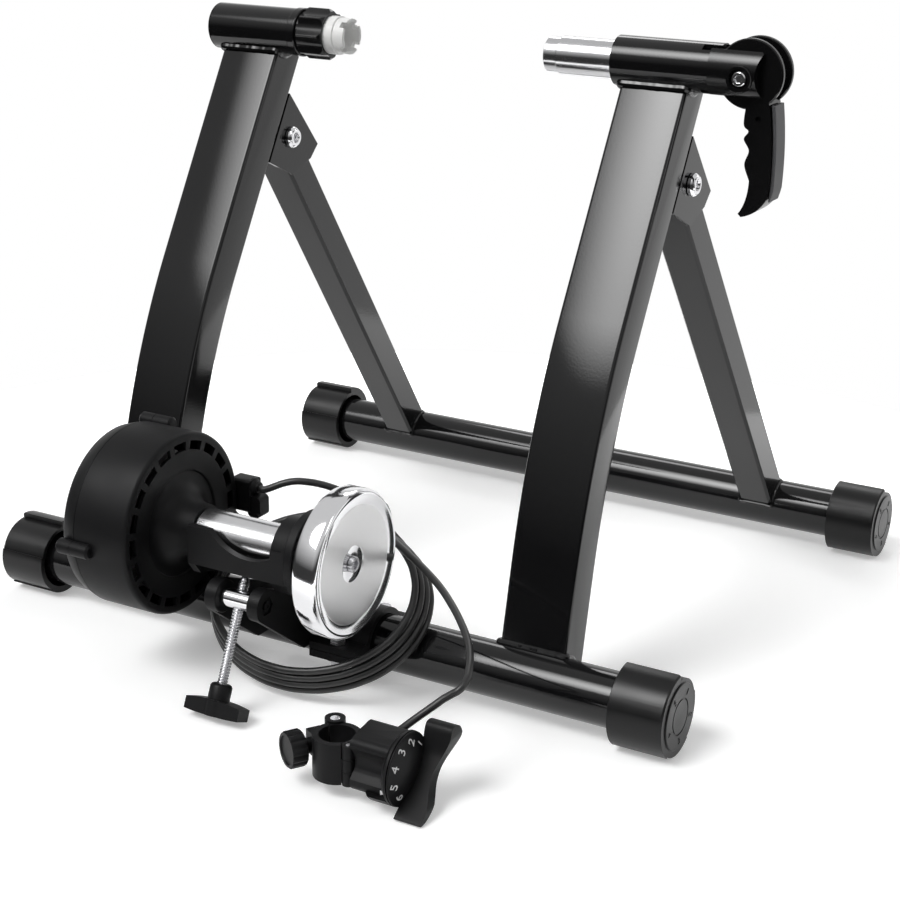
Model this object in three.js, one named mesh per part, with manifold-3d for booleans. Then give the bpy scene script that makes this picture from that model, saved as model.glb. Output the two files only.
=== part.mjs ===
// Bicycle turbo trainer: a folding steel A-frame that holds the rear axle between a threaded cup
// and a lever-driven ram, with a magnetic resistance unit under the tyre and a remote shifter.
// Millimetres. +X runs along the foot bars to the lever side, +Y from the front bar to the rear
// bar, +Z up, floor at zero.
import * as THREE from 'three';
import { mergeVertices } from 'three/addons/utils/BufferGeometryUtils.js';
import Module from 'manifold-3d';

const wasm = await Module();
wasm.setup();

// Clearances and counts that every piece shares
const seat = 0.3; // gap left between pieces that touch
const play = 0.5; // gap left between pieces that move past each other
const overrun = 3; // how far a cutter stands past what it cuts
const weldTolerance = 1e-4;
const roundSides = 18;
const largeSides = 28;
const smallSides = 12;

// Stance
const barLength = 545; // over the foot caps
const barSpacing = 395;
const barRadius = 19;
const barWall = 2;
const clampHeight = 410;
const clampSetback = 170.4; // axle line behind the front bar

// Foot caps: five height steps, the middle one on the floor
const capBaseRadius = 25.2;
const capStep = 1;
const capLength = 40;
const capEndWall = 5;
const capRimWall = 3;
const capFaceRise = 1;
const capFaceRadius = 22.5;
const capRingRadius = 12;
const capRingWidth = 1.2;
const capChamfer = 1.2;
const capFacetsPerStep = 5;
const capSteps = 5;
const capStandingStep = 2;
const capOrder = [2, 1, 0, 4, 3]; // step of each sector, from the floor round
const capFacetAngle = (2 * Math.PI) / (capSteps * capFacetsPerStep);
const capStandingRadius = capBaseRadius + capStandingStep * capStep;
const barHeight = capStandingRadius * Math.cos(capFacetAngle / 2);

// Uprights: one bent rectangular tube each
const uprightWidth = 48.4;
const uprightDepth = 30;
const uprightWall = 2;
const uprightCorner = 2.5;
const uprightInside = 279.2; // clear distance between the two uprights
const uprightLowerLean = THREE.MathUtils.degToRad(12.5);
const uprightUpperLean = THREE.MathUtils.degToRad(30.3);
const uprightBendRadius = 530;
const uprightLowerStraight = 69;
const uprightTopBackset = 14.7; // centre line behind the axle line, at axle height
const uprightTopDrop = 10; // top cut below the axle line
const uprightCentre = (uprightInside + uprightWidth) / 2;

// Rear legs, hinge brackets and their bolts
const legWidth = 27.5;
const legPlay = 1.2; // between a leg's side and its bracket
const legDepth = 26.5;
const legWall = 1.8;
const legCorner = 2;
const legSplay = 7; // how far each leg leans outwards at the rear bar
const bracketPlate = 2.4;
const bracketReach = 37; // bolt to the rearmost corner of the bracket
const bracketCornerShares = [1, -0.29];
const bracketNotchShares = [0.73, -0.55];
const bracketHeelShares = [0.06, -0.79];
const bracketTopRise = 33;
const bracketFootDrop = 15;
const hingeBackset = 175.5;
const hingeDrop = 80; // hinge bolts below the axle line
const hingeHeight = clampHeight - hingeDrop;
const hingeBoltRadius = 4;
const hingeHeadRadius = 8;
const hingeHeadHeight = 4.5;
const hingeRingRadius = 6.4;
const hingeRingRise = 0.8;
const hingeSocketRadius = 3;
const hingeNutAcross = 13;

// Left clamp: tube, end plug, lock knob and threaded axle cup, all on the axle line
const clampTubeRadius = 17;
const leftOverhang = 9; // tube beyond the upright's outer face
const leftReach = 12.6; // tube beyond the upright's inner face
const leftTubeStart = -uprightInside / 2 - uprightWidth - leftOverhang;
const leftTubeEnd = -uprightInside / 2 + leftReach;
const collarLength = 6;
const collarRadius = 17.7;
const leftBore = 14.2;
const plugDepth = 8;
const plugFlange = 2;
const knobRadius = 18.6;
const knobFluteDepth = 1.5;
const knobFlutes = 9;
const knobLength = 23;
const knobEdge = 0.8;
const axleGap = 161.6; // between the cup's rim and the ram's tip
const cupTip = -axleGap / 2;
const cupThreadRadius = 13.5;
const cupThreadLength = 66;
const cupCollarRadius = 13.9;
const cupCollarLength = 9;
const cupNoseRadius = 12.9;
const cupRecessRadius = 9;
const cupRecessBottomRadius = 6.5;
const cupRecessDepth = 11;
const cupNotchWidth = 6;
const cupNotchDepth = 4.5;
const cupNotches = 4;

// Right clamp: tube, ram, lever, cheeks and pivot bolt
const rightReach = 6.1; // tube beyond the upright's inner face
const rightOverhang = 21.5; // tube beyond the upright's outer face
const rightTubeStart = uprightInside / 2 - rightReach;
const rightTubeEnd = uprightInside / 2 + uprightWidth + rightOverhang;
const rightBore = 13.8;
const ramTip = axleGap / 2;
const ramTipRadius = 12.3;
const ramTipLength = 10;
const ramRadius = 13.3;
const tongueRoot = 19.5; // round part of the ram ends this far inside the tube
const ramShoulder = rightTubeEnd - tongueRoot;
const tongueThickness = 11;
const tongueHeight = 20;
const tongueGap = 1.6; // open pivot between tongue and cam
const ramRecessRadius = 6.5;
const ramRecessDepth = 9;
const pivotReach = 17.5; // lever pivot beyond the tube
const pivotX = rightTubeEnd + pivotReach;
const pivotDrop = 2.8;
const camRadius = 10;
const camThrow = 4.5;
const flangeRadius = 23;
const flangeOffset = 4;
const flangeRise = 2.5;
const flangeInner = 6.3;
const flangeOuter = 10.4;
const flangeEdge = 0.6;
const slotLength = 12.5;
const slotStart = rightTubeEnd - slotLength;
const cheekOuter = 18.9;
const cheekReach = 9.8; // cheek beyond the pivot
const cheekBack = rightTubeEnd + seat;
const cheekFront = pivotX + cheekReach;
const cheekEdge = 1;
const cheekTop = 14.6;
const cheekBottom = 16.8;
const cheekCorner = 5;
const cheekLip = 5.5;
const cheekBossRadius = 7.6;
const cheekBossRise = 2;
const pivotBoltRadius = 3.4;
const pivotHeadRadius = 5;
const pivotHeadHeight = 2.6;
const handleThickness = 20.8;
const handleWidth = 18;
const handleEdge = 1.5;
const handleDrop = 26; // grip's top below the axle line
const handleLength = 66.5;
const handleTop = clampHeight - handleDrop;
const handleTip = handleTop - handleLength;
const handleInset = 2; // grip's inner edge beyond the pivot
const handleLeft = pivotX + handleInset;
const handleScrewRadius = 2;
const handleScrewDepth = 3;
const handleScrewDrop = 3;
const handleScrewShare = 0.55;
const spineThickness = 2.4;
const spineInset = 2; // spine's edge inside the grip's side

// Resistance unit, on the roller axis
const rollerSetback = -60;
const rollerHeight = 108.3;
const rollerRadius = 15;
const shaftRadius = 5;
const shaftInset = 7; // shaft's end inside the housing's back
const shaftDepth = 9.5; // shaft's end behind the flywheel's face
const flywheelRadius = 50.2;
const flywheelThickness = 18.1;
const flywheelGap = 2.4; // to the bearing collar
const flywheelEdge = 3;
const flywheelDish = 1.6;
const flywheelHubRadius = 11;
const flywheelHubDepth = 3.5;
const flywheelHubTaper = 1.5;
const flywheelScrewRadius = 5.4;
const flywheelScrewHead = 3;
const flywheelStemInset = 2; // screw's stem inside the shaft's radius
const housingRadius = 63.5;
const housingFace = -72.3;
const housingSeam = -114.5;
const housingBack = -127;
const housingTaper = 3; // back shell's rim inside the seam's radius
const housingBackRadius = housingRadius - housingTaper;
const housingShoulder = 2.5;
const housingWall = 2.6;
const hubFlareRadius = 32;
const hubNoseRadius = 17;
const hubNose = -52.5;
const hubDish = 2.2;
const ventCount = 20;
const ventInset = 9;
const ventRadius = housingRadius - ventInset;
const ventDepth = 5;
const ventArcShare = 0.62;
const bossRadius = 5.2;
const bossStandOff = 1; // boss centres outside the housing's radius
const bossReach = housingRadius + bossStandOff;
const bossSink = 1; // bosses' backs behind the housing's back
const bossBack = housingBack + bossSink;
const bossLength = 15; // bosses in front of the seam
const bossFront = housingSeam + bossLength;
const bossCount = 3;
const bossStart = THREE.MathUtils.degToRad(184);
const rotorInset = 13.5;
const rotorRadius = housingRadius - rotorInset;
const rotorThickness = 3;
const rotorPlace = -100;
const rotorHubRadius = 13;
const rotorHubLength = 14;
const magnetPlateInset = 2;
const magnetPlateRadius = rotorRadius - magnetPlateInset;
const magnetPlateBore = 17;
const magnetPlateThickness = 3;
const magnetRadius = 7;
const magnetThickness = 4;
const magnetCount = 6;
const magnetInset = 14;
const magnetCircle = rotorRadius - magnetInset;
const magnetGap = 2; // air between the rotor and the nearer magnets
const bearingOuter = 13;
const bearingWidth = 8;
const portInset = 6; // how far the port stands left of the housing's face
const portWidth = 16;
const portLength = 20;
const portHeight = 24;
const portDepth = 14;
const portSnoutWall = 2.5;

// Yoke that carries the roller and tilts on the pivot bolt
const yokeLeft = -51.5;
const yokeLeftCheek = 6;
const yokeRight = 29;
const yokeRightCheek = 14;
const yokeRingRadius = 23;
const yokePivotRadius = 9;
const yokePlateThickness = 5;
const yokePlateFront = 23; // front plate ahead of the roller axis
const yokePlateTop = 11;
const yokePlateBottom = 16;
const yokeChinDrop = 14; // cheeks' lowest point below the front plate
const yokeChinShares = [[-0.74, 0.57], [0.17, 1], [0.43, 0]];
const yokeChinRootShare = 0.64;
const yokeScoopRadius = 38;
const yokeScoopDepth = 15;
const yokeScoopShare = 0.6;
const padThickness = 5;
const padLength = 30;
const collarDiscRadius = 30;
const collarDiscStepRadius = 27;
const collarDiscStep = 7; // width of the collar's wide disc
const collarDiscTaper = 3;
const collarDiscEnd = 47;
const flywheelBack = collarDiscEnd + flywheelGap;
const flywheelFace = flywheelBack + flywheelThickness;
const tiltPivotBackset = 0;
const tiltPivotHeight = 60.8;
const tiltBoltRadius = 4.5;
const tiltBoltHeadRadius = 8;
const tiltBoltHeadHeight = 6;

// Bracket on the front bar, adjuster and its cross dowel
const bracketLeft = -31;
const bracketCheek = 4.5;
const bracketRightCheek = 7;
const bracketRightEnd = 52;
const saddleThickness = 4.3;
const earSetback = -82;
const earHeight = 74.5;
const earRadius = 11.5;
const earWidth = 9;
const earRecess = 1.5;
const tiltLugRadius = 10;
const lugReach = 37;
const lugThickness = 5.5;
const lugStart = 14;
const lugBoltRadius = 3;
const lugBoltAcross = 10;
const lugBoltHead = 5;
const lugBoltTip = 1; // shank's end below the head's top
const dowelRadius = 6.5;
const dowelTrunnion = 4;
const rodRadius = 3.6;
const rodLean = THREE.MathUtils.degToRad(24);
const rodTip = 17;
const rodPoint = 4; // length of the rod's tapered end
const rodFoot = -73;
const grubHubRadius = 7.5;
const grubHubLength = 12;
const grubBarLength = 43;
const grubBarHeight = 9;
const grubBarThickness = 11;
const grubBarBelly = 1;
const grubBarCrown = 3;
const grubBarEdge = 1.5;
const grubCentre = -73;

// Remote shifter lying on the floor in front of the bar, measured from its dial axis
const shifterX = 126;
const shifterY = -147;
const shifterAxisHeight = 26.5;
const shifterBodyLength = 30.5;
const shifterFront = -14.5;
const shifterBack = 13;
const shifterBottom = -25.5;
const shifterTop = 21;
const shifterRibRadius = 5.5;
const shifterEdge = 1;
const dialRadius = 22;
const dialThickness = 4.2;
const dialBevel = 1.5;
const wingStart = 35.5;
const wingEnd = 51;
const wingLength = 62;
const wingFrontShares = [
  [0.4, 0.35], [0.33, 0.1], [0.24, 0.02], [0.1, -0.12], [-0.05, -0.235], [-0.18, -0.335], [-0.27, -0.41]];
const wingBackShares = [
  [-0.18, -0.415], [-0.05, -0.355], [0.08, -0.25], [0.2, -0.15], [0.34, -0.035], [0.46, 0.07],
  [0.55, 0.17], [0.53, 0.28], [0.46, 0.355]];

// Shifter's handlebar clamp: a fixed half band, a hinged jaw and a thumb screw
const clampX = -17.5;
const clampY = -1;
const clampTurn = THREE.MathUtils.degToRad(58);
const clampBore = 11.5;
const clampWall = 4;
const clampBottom = -16;
const clampTop = 11;
const clampSplit = 0.04; // radians between a band's end and the split line
const hingePinRadius = 1.6;
const hingeBarrelRadius = 4;
const tabReach = 8;
const tabThickness = 9.5;
const tabHeight = 15;
const eyeRadius = 6.6;
const eyeRise = 1.5;
const eyePinRadius = 3.4;
const screwOffset = 17.5; // screw line from the bore's axis
const screwRadius = 2.6;
const screwHoleRadius = 3.4;
const screwEnd = 2.4;
const thumbFace = -26.5;
const thumbLength = 10.5;
const thumbRadius = 11.9;
const thumbFlutes = 14;
const thumbFluteDepth = 1;
const thumbNeckRadius = 5;
const thumbDishDepth = 1;
const thumbDishShare = 0.8;

// Shifter cable
const cableRadius = 2.5;
const cableSides = 8;
const coilSides = 6;
const coilLoops = 4;
const coilStepsPerLoop = 24;
const coilPitch = 5.7; // distance between neighbouring turns
const coilCentre = new THREE.Vector3(7, -10.6, 47);
const coilHalfWidth = 82;
const coilHalfHeight = 66;
const coilLastShare = 0.9; // size of the last loop against the first
const coilLean = THREE.MathUtils.degToRad(38);
const coilStart = THREE.MathUtils.degToRad(60);
const leadRoute = [[-34.5, 20, 121], [-11, 32, 117], [12, 41, 104]];
const tailRoute = [[106.7, -20, 86.9], [150, -60, 75], [170, -98, 67], [160, -108, 57], [149, -118, 47]];
const cableEntry = [16, 13, 14]; // where the cable enters the shifter, from its dial axis

function finish(color, roughness, metalness) {
  return new THREE.MeshStandardMaterial({ color, roughness, metalness });
}
const blackPaint = finish(0x1c1c1f, 0.35, 0.4);
const mouldedBlack = finish(0x17171a, 0.55, 0);
const chrome = finish(0xd8dade, 0.12, 1);
const bareSteel = finish(0xa9abb0, 0.3, 1);
const whiteNylon = finish(0xe6e6e4, 0.4, 0.1);
const greyGrip = finish(0x7d7f84, 0.6, 0);
const rubberBlack = finish(0x141416, 0.8, 0);
const castAlloy = finish(0x8c8e92, 0.5, 0.8);

// Solids are cut and joined on merged vertices, with every face pointing out
function toSolid(geometry) {
  const bare = geometry.clone();
  bare.deleteAttribute('normal');
  bare.deleteAttribute('uv');
  const welded = mergeVertices(bare, weldTolerance);
  const position = welded.attributes.position.array;
  const corners = welded.index.array;
  const kept = [];
  let volume = 0;
  const a = new THREE.Vector3();
  const b = new THREE.Vector3();
  const c = new THREE.Vector3();
  for (let i = 0; i < corners.length; i += 3) {
    const [p, q, r] = [corners[i], corners[i + 1], corners[i + 2]];
    if (p === q || q === r || r === p) continue;
    kept.push(p, q, r);
    a.fromArray(position, 3 * p);
    b.fromArray(position, 3 * q);
    c.fromArray(position, 3 * r);
    volume += a.dot(b.cross(c));
  }
  if (volume < 0) kept.reverse();
  return new wasm.Manifold(new wasm.Mesh({
    numProp: 3,
    vertProperties: Float32Array.from(position),
    triVerts: Uint32Array.from(kept),
  }));
}

function toGeometry(solid) {
  const mesh = solid.getMesh();
  const geometry = new THREE.BufferGeometry();
  geometry.setAttribute('position', new THREE.BufferAttribute(mesh.vertProperties, 3));
  geometry.setIndex(new THREE.BufferAttribute(mesh.triVerts, 1));
  geometry.computeVertexNormals();
  return geometry;
}

function fuse(first, ...others) {
  return toGeometry(others.reduce((whole, part) => whole.add(toSolid(part)), toSolid(first)));
}

function carve(body, ...cutters) {
  return toGeometry(cutters.reduce((whole, part) => whole.subtract(toSolid(part)), toSolid(body)));
}

function overlap(first, second) {
  return toGeometry(toSolid(first).intersect(toSolid(second)));
}

function piece(name, geometry, material) {
  const mesh = new THREE.Mesh(toGeometry(toSolid(geometry)), material);
  mesh.name = name;
  return mesh;
}

// A round body on the X axis from [x, radius] pairs; an open profile starts and ends on the axis
function turnedX(profile, sides = roundSides) {
  const points = profile.map(([x, radius]) => new THREE.Vector2(radius, x));
  return new THREE.LatheGeometry(points, sides).rotateZ(-Math.PI / 2);
}

function rodX(radius, start, end, sides = roundSides) {
  return turnedX([[start, 0], [start, radius], [end, radius], [end, 0]], sides);
}

function ringX(inner, outer, start, end, sides = roundSides) {
  return turnedX([[start, inner], [start, outer], [end, outer], [end, inner], [start, inner]], sides);
}

function rodZ(radius, start, end, sides = smallSides) {
  return rodX(radius, start, end, sides).rotateY(-Math.PI / 2);
}

function rodY(radius, start, end, sides = smallSides) {
  return rodX(radius, start, end, sides).rotateZ(Math.PI / 2);
}

function box(x0, x1, y0, y1, z0, z1) {
  return new THREE.BoxGeometry(x1 - x0, y1 - y0, z1 - z0)
    .translate((x0 + x1) / 2, (y0 + y1) / 2, (z0 + z1) / 2);
}

// Extrudes a shape drawn in (Y, Z) along X
function plateX(shape, start, end, round = 0, curveSegments = 6) {
  const settings = { depth: end - start - 2 * round, curveSegments, bevelEnabled: round > 0 };
  Object.assign(settings, { bevelThickness: round, bevelSize: round, bevelOffset: -round });
  const geometry = new THREE.ExtrudeGeometry(shape, { ...settings, bevelSegments: 1 });
  const axes = new THREE.Matrix4().makeBasis(
    new THREE.Vector3(0, 1, 0), new THREE.Vector3(0, 0, 1), new THREE.Vector3(1, 0, 0));
  return geometry.applyMatrix4(axes).translate(start + round, 0, 0);
}

// Extrudes a shape drawn in (X, Z) along Y
function plateY(shape, start, end, round = 0, curveSegments = 6) {
  const settings = { depth: end - start - 2 * round, curveSegments, bevelEnabled: round > 0 };
  Object.assign(settings, { bevelThickness: round, bevelSize: round, bevelOffset: -round });
  const geometry = new THREE.ExtrudeGeometry(shape, { ...settings, bevelSegments: 1 });
  const axes = new THREE.Matrix4().makeBasis(
    new THREE.Vector3(1, 0, 0), new THREE.Vector3(0, 0, 1), new THREE.Vector3(0, -1, 0));
  return geometry.applyMatrix4(axes).translate(0, end - round, 0);
}

// Extrudes a shape drawn in (X, Y) along Z
function plateZ(shape, start, end, round = 0, curveSegments = 6) {
  const settings = { depth: end - start - 2 * round, curveSegments, bevelEnabled: round > 0 };
  Object.assign(settings, { bevelThickness: round, bevelSize: round, bevelOffset: -round });
  return new THREE.ExtrudeGeometry(shape, { ...settings, bevelSegments: 1 })
    .translate(0, 0, start + round);
}

function polygon(points) {
  return new THREE.Shape(points.map(([u, v]) => new THREE.Vector2(u, v)));
}

function disc(u, v, radius) {
  return new THREE.Shape().absarc(u, v, radius, 0, 2 * Math.PI, false);
}

function roundedRectangle(u0, u1, v0, v1, radius) {
  const shape = new THREE.Shape();
  shape.absarc(u1 - radius, v1 - radius, radius, 0, Math.PI / 2, false);
  shape.absarc(u0 + radius, v1 - radius, radius, Math.PI / 2, Math.PI, false);
  shape.absarc(u0 + radius, v0 + radius, radius, Math.PI, 1.5 * Math.PI, false);
  shape.absarc(u1 - radius, v0 + radius, radius, 1.5 * Math.PI, 2 * Math.PI, false);
  return shape;
}

// Outline round two circles and the tangents that join them
function link(u0, v0, r0, u1, v1, r1) {
  const along = Math.atan2(v1 - v0, u1 - u0);
  const spread = Math.acos((r0 - r1) / Math.hypot(u1 - u0, v1 - v0));
  const shape = new THREE.Shape();
  shape.absarc(u0, v0, r0, along + spread, along - spread + 2 * Math.PI, false);
  shape.absarc(u1, v1, r1, along - spread, along + spread, false);
  return shape;
}

function hexagon(u, v, across) {
  const radius = across / Math.sqrt(3);
  return polygon([0, 1, 2, 3, 4, 5].map((k) => {
    const angle = (k * Math.PI) / 3;
    return [u + radius * Math.cos(angle), v + radius * Math.sin(angle)];
  }));
}

function fluted(radius, depth, count, pointsPerFlute) {
  const points = [];
  for (let k = 0; k < count * pointsPerFlute; k += 1) {
    const turn = (2 * Math.PI * k) / (count * pointsPerFlute);
    const reach = radius - depth * (0.5 + 0.5 * Math.cos(count * turn)) ** 2;
    points.push([reach * Math.cos(turn), reach * Math.sin(turn)]);
  }
  return polygon(points);
}

// Foot bars and caps
function footTube(name) {
  const half = barLength / 2 - capFaceRise - capEndWall - seat;
  return piece(name, ringX(barRadius - barWall, barRadius, -half, half), blackPaint);
}

// The cap's rim rises in five steps; its sector with the standing radius faces the floor
function footCap(name, side) {
  const points = [];
  const sector = (2 * Math.PI) / capSteps;
  capOrder.forEach((step, k) => {
    const first = -Math.PI / 2 - sector / 2 + k * sector;
    const radius = capBaseRadius + step * capStep;
    for (let i = 0; i <= capFacetsPerStep; i += 1) {
      const angle = first + i * capFacetAngle;
      points.push([radius * Math.cos(angle), radius * Math.sin(angle)]);
    }
  });
  const topRadius = capBaseRadius + (capSteps - 1) * capStep;
  const envelope = turnedX([
    [-capLength, 0], [-capLength, topRadius + overrun], [-capChamfer, topRadius + overrun],
    [-capChamfer, topRadius], [0, topRadius - capChamfer], [0, 0],
  ]);
  const rim = overlap(plateX(polygon(points), -capLength + capFaceRise, 0), envelope);
  const face = rodX(capFaceRadius, -capEndWall, capFaceRise);
  const hollow = ringX(barRadius - barWall - seat, capBaseRadius - capRimWall,
    -capLength - overrun, -capEndWall);
  const groove = ringX(capRingRadius - capRingWidth / 2, capRingRadius + capRingWidth / 2,
    capFaceRise / 2, capFaceRise + overrun);
  const cap = carve(fuse(rim, face), hollow, groove).translate(-capFaceRise, 0, 0);
  const mesh = piece(name, side > 0 ? cap : cap.rotateZ(Math.PI), rubberBlack);
  mesh.position.x = (side * barLength) / 2;
  return mesh;
}

// Upright centre line, in (Y, Z)
const uprightStart = (() => {
  const rise = clampHeight - barHeight;
  const turnRise = uprightBendRadius * (Math.sin(uprightUpperLean) - Math.sin(uprightLowerLean));
  const turnRun = uprightBendRadius * (Math.cos(uprightLowerLean) - Math.cos(uprightUpperLean));
  const upper = (rise - turnRise - uprightLowerStraight * Math.cos(uprightLowerLean))
    / Math.cos(uprightUpperLean);
  const run = uprightLowerStraight * Math.sin(uprightLowerLean) + turnRun
    + upper * Math.sin(uprightUpperLean);
  return clampSetback + uprightTopBackset - run;
})();
const bendCentre = [
  uprightStart + uprightLowerStraight * Math.sin(uprightLowerLean)
    + uprightBendRadius * Math.cos(uprightLowerLean),
  barHeight + uprightLowerStraight * Math.cos(uprightLowerLean)
    - uprightBendRadius * Math.sin(uprightLowerLean),
];

// Point on the upper straight at a height, offset backwards from the centre line
function upperEdge(height, offset) {
  const lean = uprightUpperLean;
  const y = clampSetback + uprightTopBackset + (height - clampHeight) * Math.tan(lean);
  return [y + offset / Math.cos(lean), height];
}

function uprightOutline(inset, past) {
  const half = uprightDepth / 2 - inset;
  const low = uprightLowerLean;
  const foot = (offset) => [
    uprightStart + offset / Math.cos(low) - past * Math.tan(low), barHeight - past];
  const top = clampHeight - uprightTopDrop + past;
  const shape = new THREE.Shape();
  shape.moveTo(...foot(half));
  shape.lineTo(...foot(-half));
  shape.absarc(...bendCentre, uprightBendRadius + half,
    Math.PI - low, Math.PI - uprightUpperLean, true);
  shape.lineTo(...upperEdge(top, -half));
  shape.lineTo(...upperEdge(top, half));
  shape.absarc(...bendCentre, uprightBendRadius - half,
    Math.PI - uprightUpperLean, Math.PI - low, false);
  return shape;
}

function upright(name, side) {
  const half = uprightWidth / 2;
  const outer = plateX(uprightOutline(0, 0), -half, half, uprightCorner, 3);
  const inner = plateX(uprightOutline(uprightWall, overrun), -half + uprightWall,
    half - uprightWall, 0, 3);
  const footCope = rodX(barRadius + seat, -half - overrun, half + overrun)
    .translate(0, 0, barHeight);
  const headCope = rodX(clampTubeRadius + seat, -half - overrun, half + overrun)
    .translate(0, clampSetback, clampHeight);
  const mesh = piece(name, carve(outer, inner, footCope, headCope), blackPaint);
  mesh.position.x = side * uprightCentre;
  return mesh;
}

const bracketInside = legWidth + 2 * legPlay;

// Hinge bracket: a channel welded behind the upright, flush with its lever-side face
function hingeBracket(name) {
  const clear = uprightDepth / 2 + seat;
  const corner = (shares) => [
    hingeBackset + shares[0] * bracketReach, hingeHeight + shares[1] * bracketReach];
  const outline = (offset, past) => polygon([
    upperEdge(hingeHeight + bracketTopRise + past, offset),
    upperEdge(hingeHeight - bracketFootDrop - past, offset),
    corner([bracketHeelShares[0] - past / bracketReach, bracketHeelShares[1] - past / bracketReach]),
    corner([bracketNotchShares[0] + past / bracketReach, bracketNotchShares[1] - past / bracketReach]),
    corner([bracketCornerShares[0] + past / bracketReach, bracketCornerShares[1]]),
  ]);
  const inside = bracketInside;
  const channel = plateX(outline(clear, 0), -inside - 2 * bracketPlate, 0);
  const slot = plateX(outline(clear + bracketPlate, 2 * bracketReach),
    -inside - bracketPlate, -bracketPlate);
  const hole = rodX(hingeBoltRadius + seat, -inside - bracketPlate * 2 - overrun, overrun, smallSides)
    .translate(0, hingeBackset, hingeHeight);
  return piece(name, carve(channel, slot, hole), blackPaint);
}

const bracketFaces = { left: -uprightInside / 2, right: uprightInside / 2 + uprightWidth };

function hingeBolt(name) {
  const grip = bracketInside + 2 * bracketPlate + seat;
  const shank = rodX(hingeBoltRadius, -grip - hingeHeadHeight - seat, seat + overrun, smallSides);
  const head = turnedX([
    [seat, 0], [seat, hingeHeadRadius], [hingeHeadHeight * 0.7, hingeHeadRadius],
    [hingeHeadHeight, hingeRingRadius], [hingeHeadHeight + hingeRingRise, hingeRingRadius],
    [hingeHeadHeight + hingeRingRise, hingeSocketRadius], [hingeHeadHeight * 0.6, hingeSocketRadius],
    [hingeHeadHeight * 0.6, 0],
  ], smallSides);
  const mesh = piece(name, fuse(shank, head), chrome);
  mesh.position.set(0, hingeBackset, hingeHeight);
  return mesh;
}

function hingeNut(name) {
  const grip = bracketInside + 2 * bracketPlate + seat;
  const body = plateX(hexagon(0, 0, hingeNutAcross), -grip - hingeHeadHeight, -grip);
  const hole = rodX(hingeBoltRadius + seat, -grip - hingeHeadHeight - overrun, overrun, smallSides);
  const mesh = piece(name, carve(body, hole), bareSteel);
  mesh.position.set(0, hingeBackset, hingeHeight);
  return mesh;
}

// Rear legs run from the hinge bolt to the rear bar's axis
const legRun = [barSpacing - hingeBackset, barHeight - hingeHeight];
const legLength = Math.hypot(...legRun);
const legLean = Math.atan2(legRun[1], legRun[0]);
const rearCentre = uprightWidth / 2 - bracketPlate - legPlay - legWidth / 2;

function rearLeg(name, side, centre) {
  const half = legWidth / 2;
  const outline = (inset, start) => {
    const shape = new THREE.Shape();
    shape.absarc(0, 0, legDepth / 2 - inset, Math.PI / 2, 1.5 * Math.PI, false);
    shape.lineTo(start, -legDepth / 2 + inset);
    shape.lineTo(start, legDepth / 2 - inset);
    return shape;
  };
  const outer = plateX(outline(0, legLength), -half, half, legCorner);
  const inner = plateX(outline(legWall, legLength + overrun), -half + legWall, half - legWall);
  const bolt = rodX(hingeBoltRadius + 2 * seat, -half - overrun, half + overrun, smallSides);
  const copeRadius = barRadius / Math.cos(Math.PI / roundSides) + seat;
  const cope = rodX(copeRadius, -half - overrun, half + overrun).translate(0, legLength, 0);
  const mesh = piece(name, carve(outer, inner, bolt, cope), blackPaint);
  const lean = new THREE.Group();
  lean.rotation.x = legLean;
  lean.position.set(centre, hingeBackset, hingeHeight);
  mesh.rotation.z = -side * Math.asin(legSplay / legLength);
  lean.add(mesh);
  return lean;
}

function frontFrame() {
  const group = new THREE.Group();
  const bar = new THREE.Group();
  bar.position.z = barHeight;
  bar.add(footTube('front_foot_tube'));
  bar.add(footCap('front_left_foot_cap', -1));
  bar.add(footCap('front_right_foot_cap', 1));
  group.add(bar, upright('left_upright', -1), upright('right_upright', 1));
  for (const [side, face] of Object.entries(bracketFaces)) {
    const hinge = new THREE.Group();
    hinge.position.x = face;
    hinge.add(hingeBracket(`${side}_hinge_bracket`), hingeBolt(`${side}_hinge_bolt`));
    hinge.add(hingeNut(`${side}_hinge_nut`));
    group.add(hinge);
  }
  return group;
}

function rearFrame() {
  const group = new THREE.Group();
  const bar = new THREE.Group();
  bar.position.set(rearCentre, barSpacing, barHeight);
  bar.add(footTube('rear_foot_tube'));
  bar.add(footCap('rear_left_foot_cap', -1));
  bar.add(footCap('rear_right_foot_cap', 1));
  group.add(bar);
  for (const [side, face] of Object.entries(bracketFaces)) {
    const centre = face - bracketPlate - legPlay - legWidth / 2;
    group.add(rearLeg(`${side}_rear_leg`, side === 'left' ? -1 : 1, centre));
  }
  return group;
}

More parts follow.
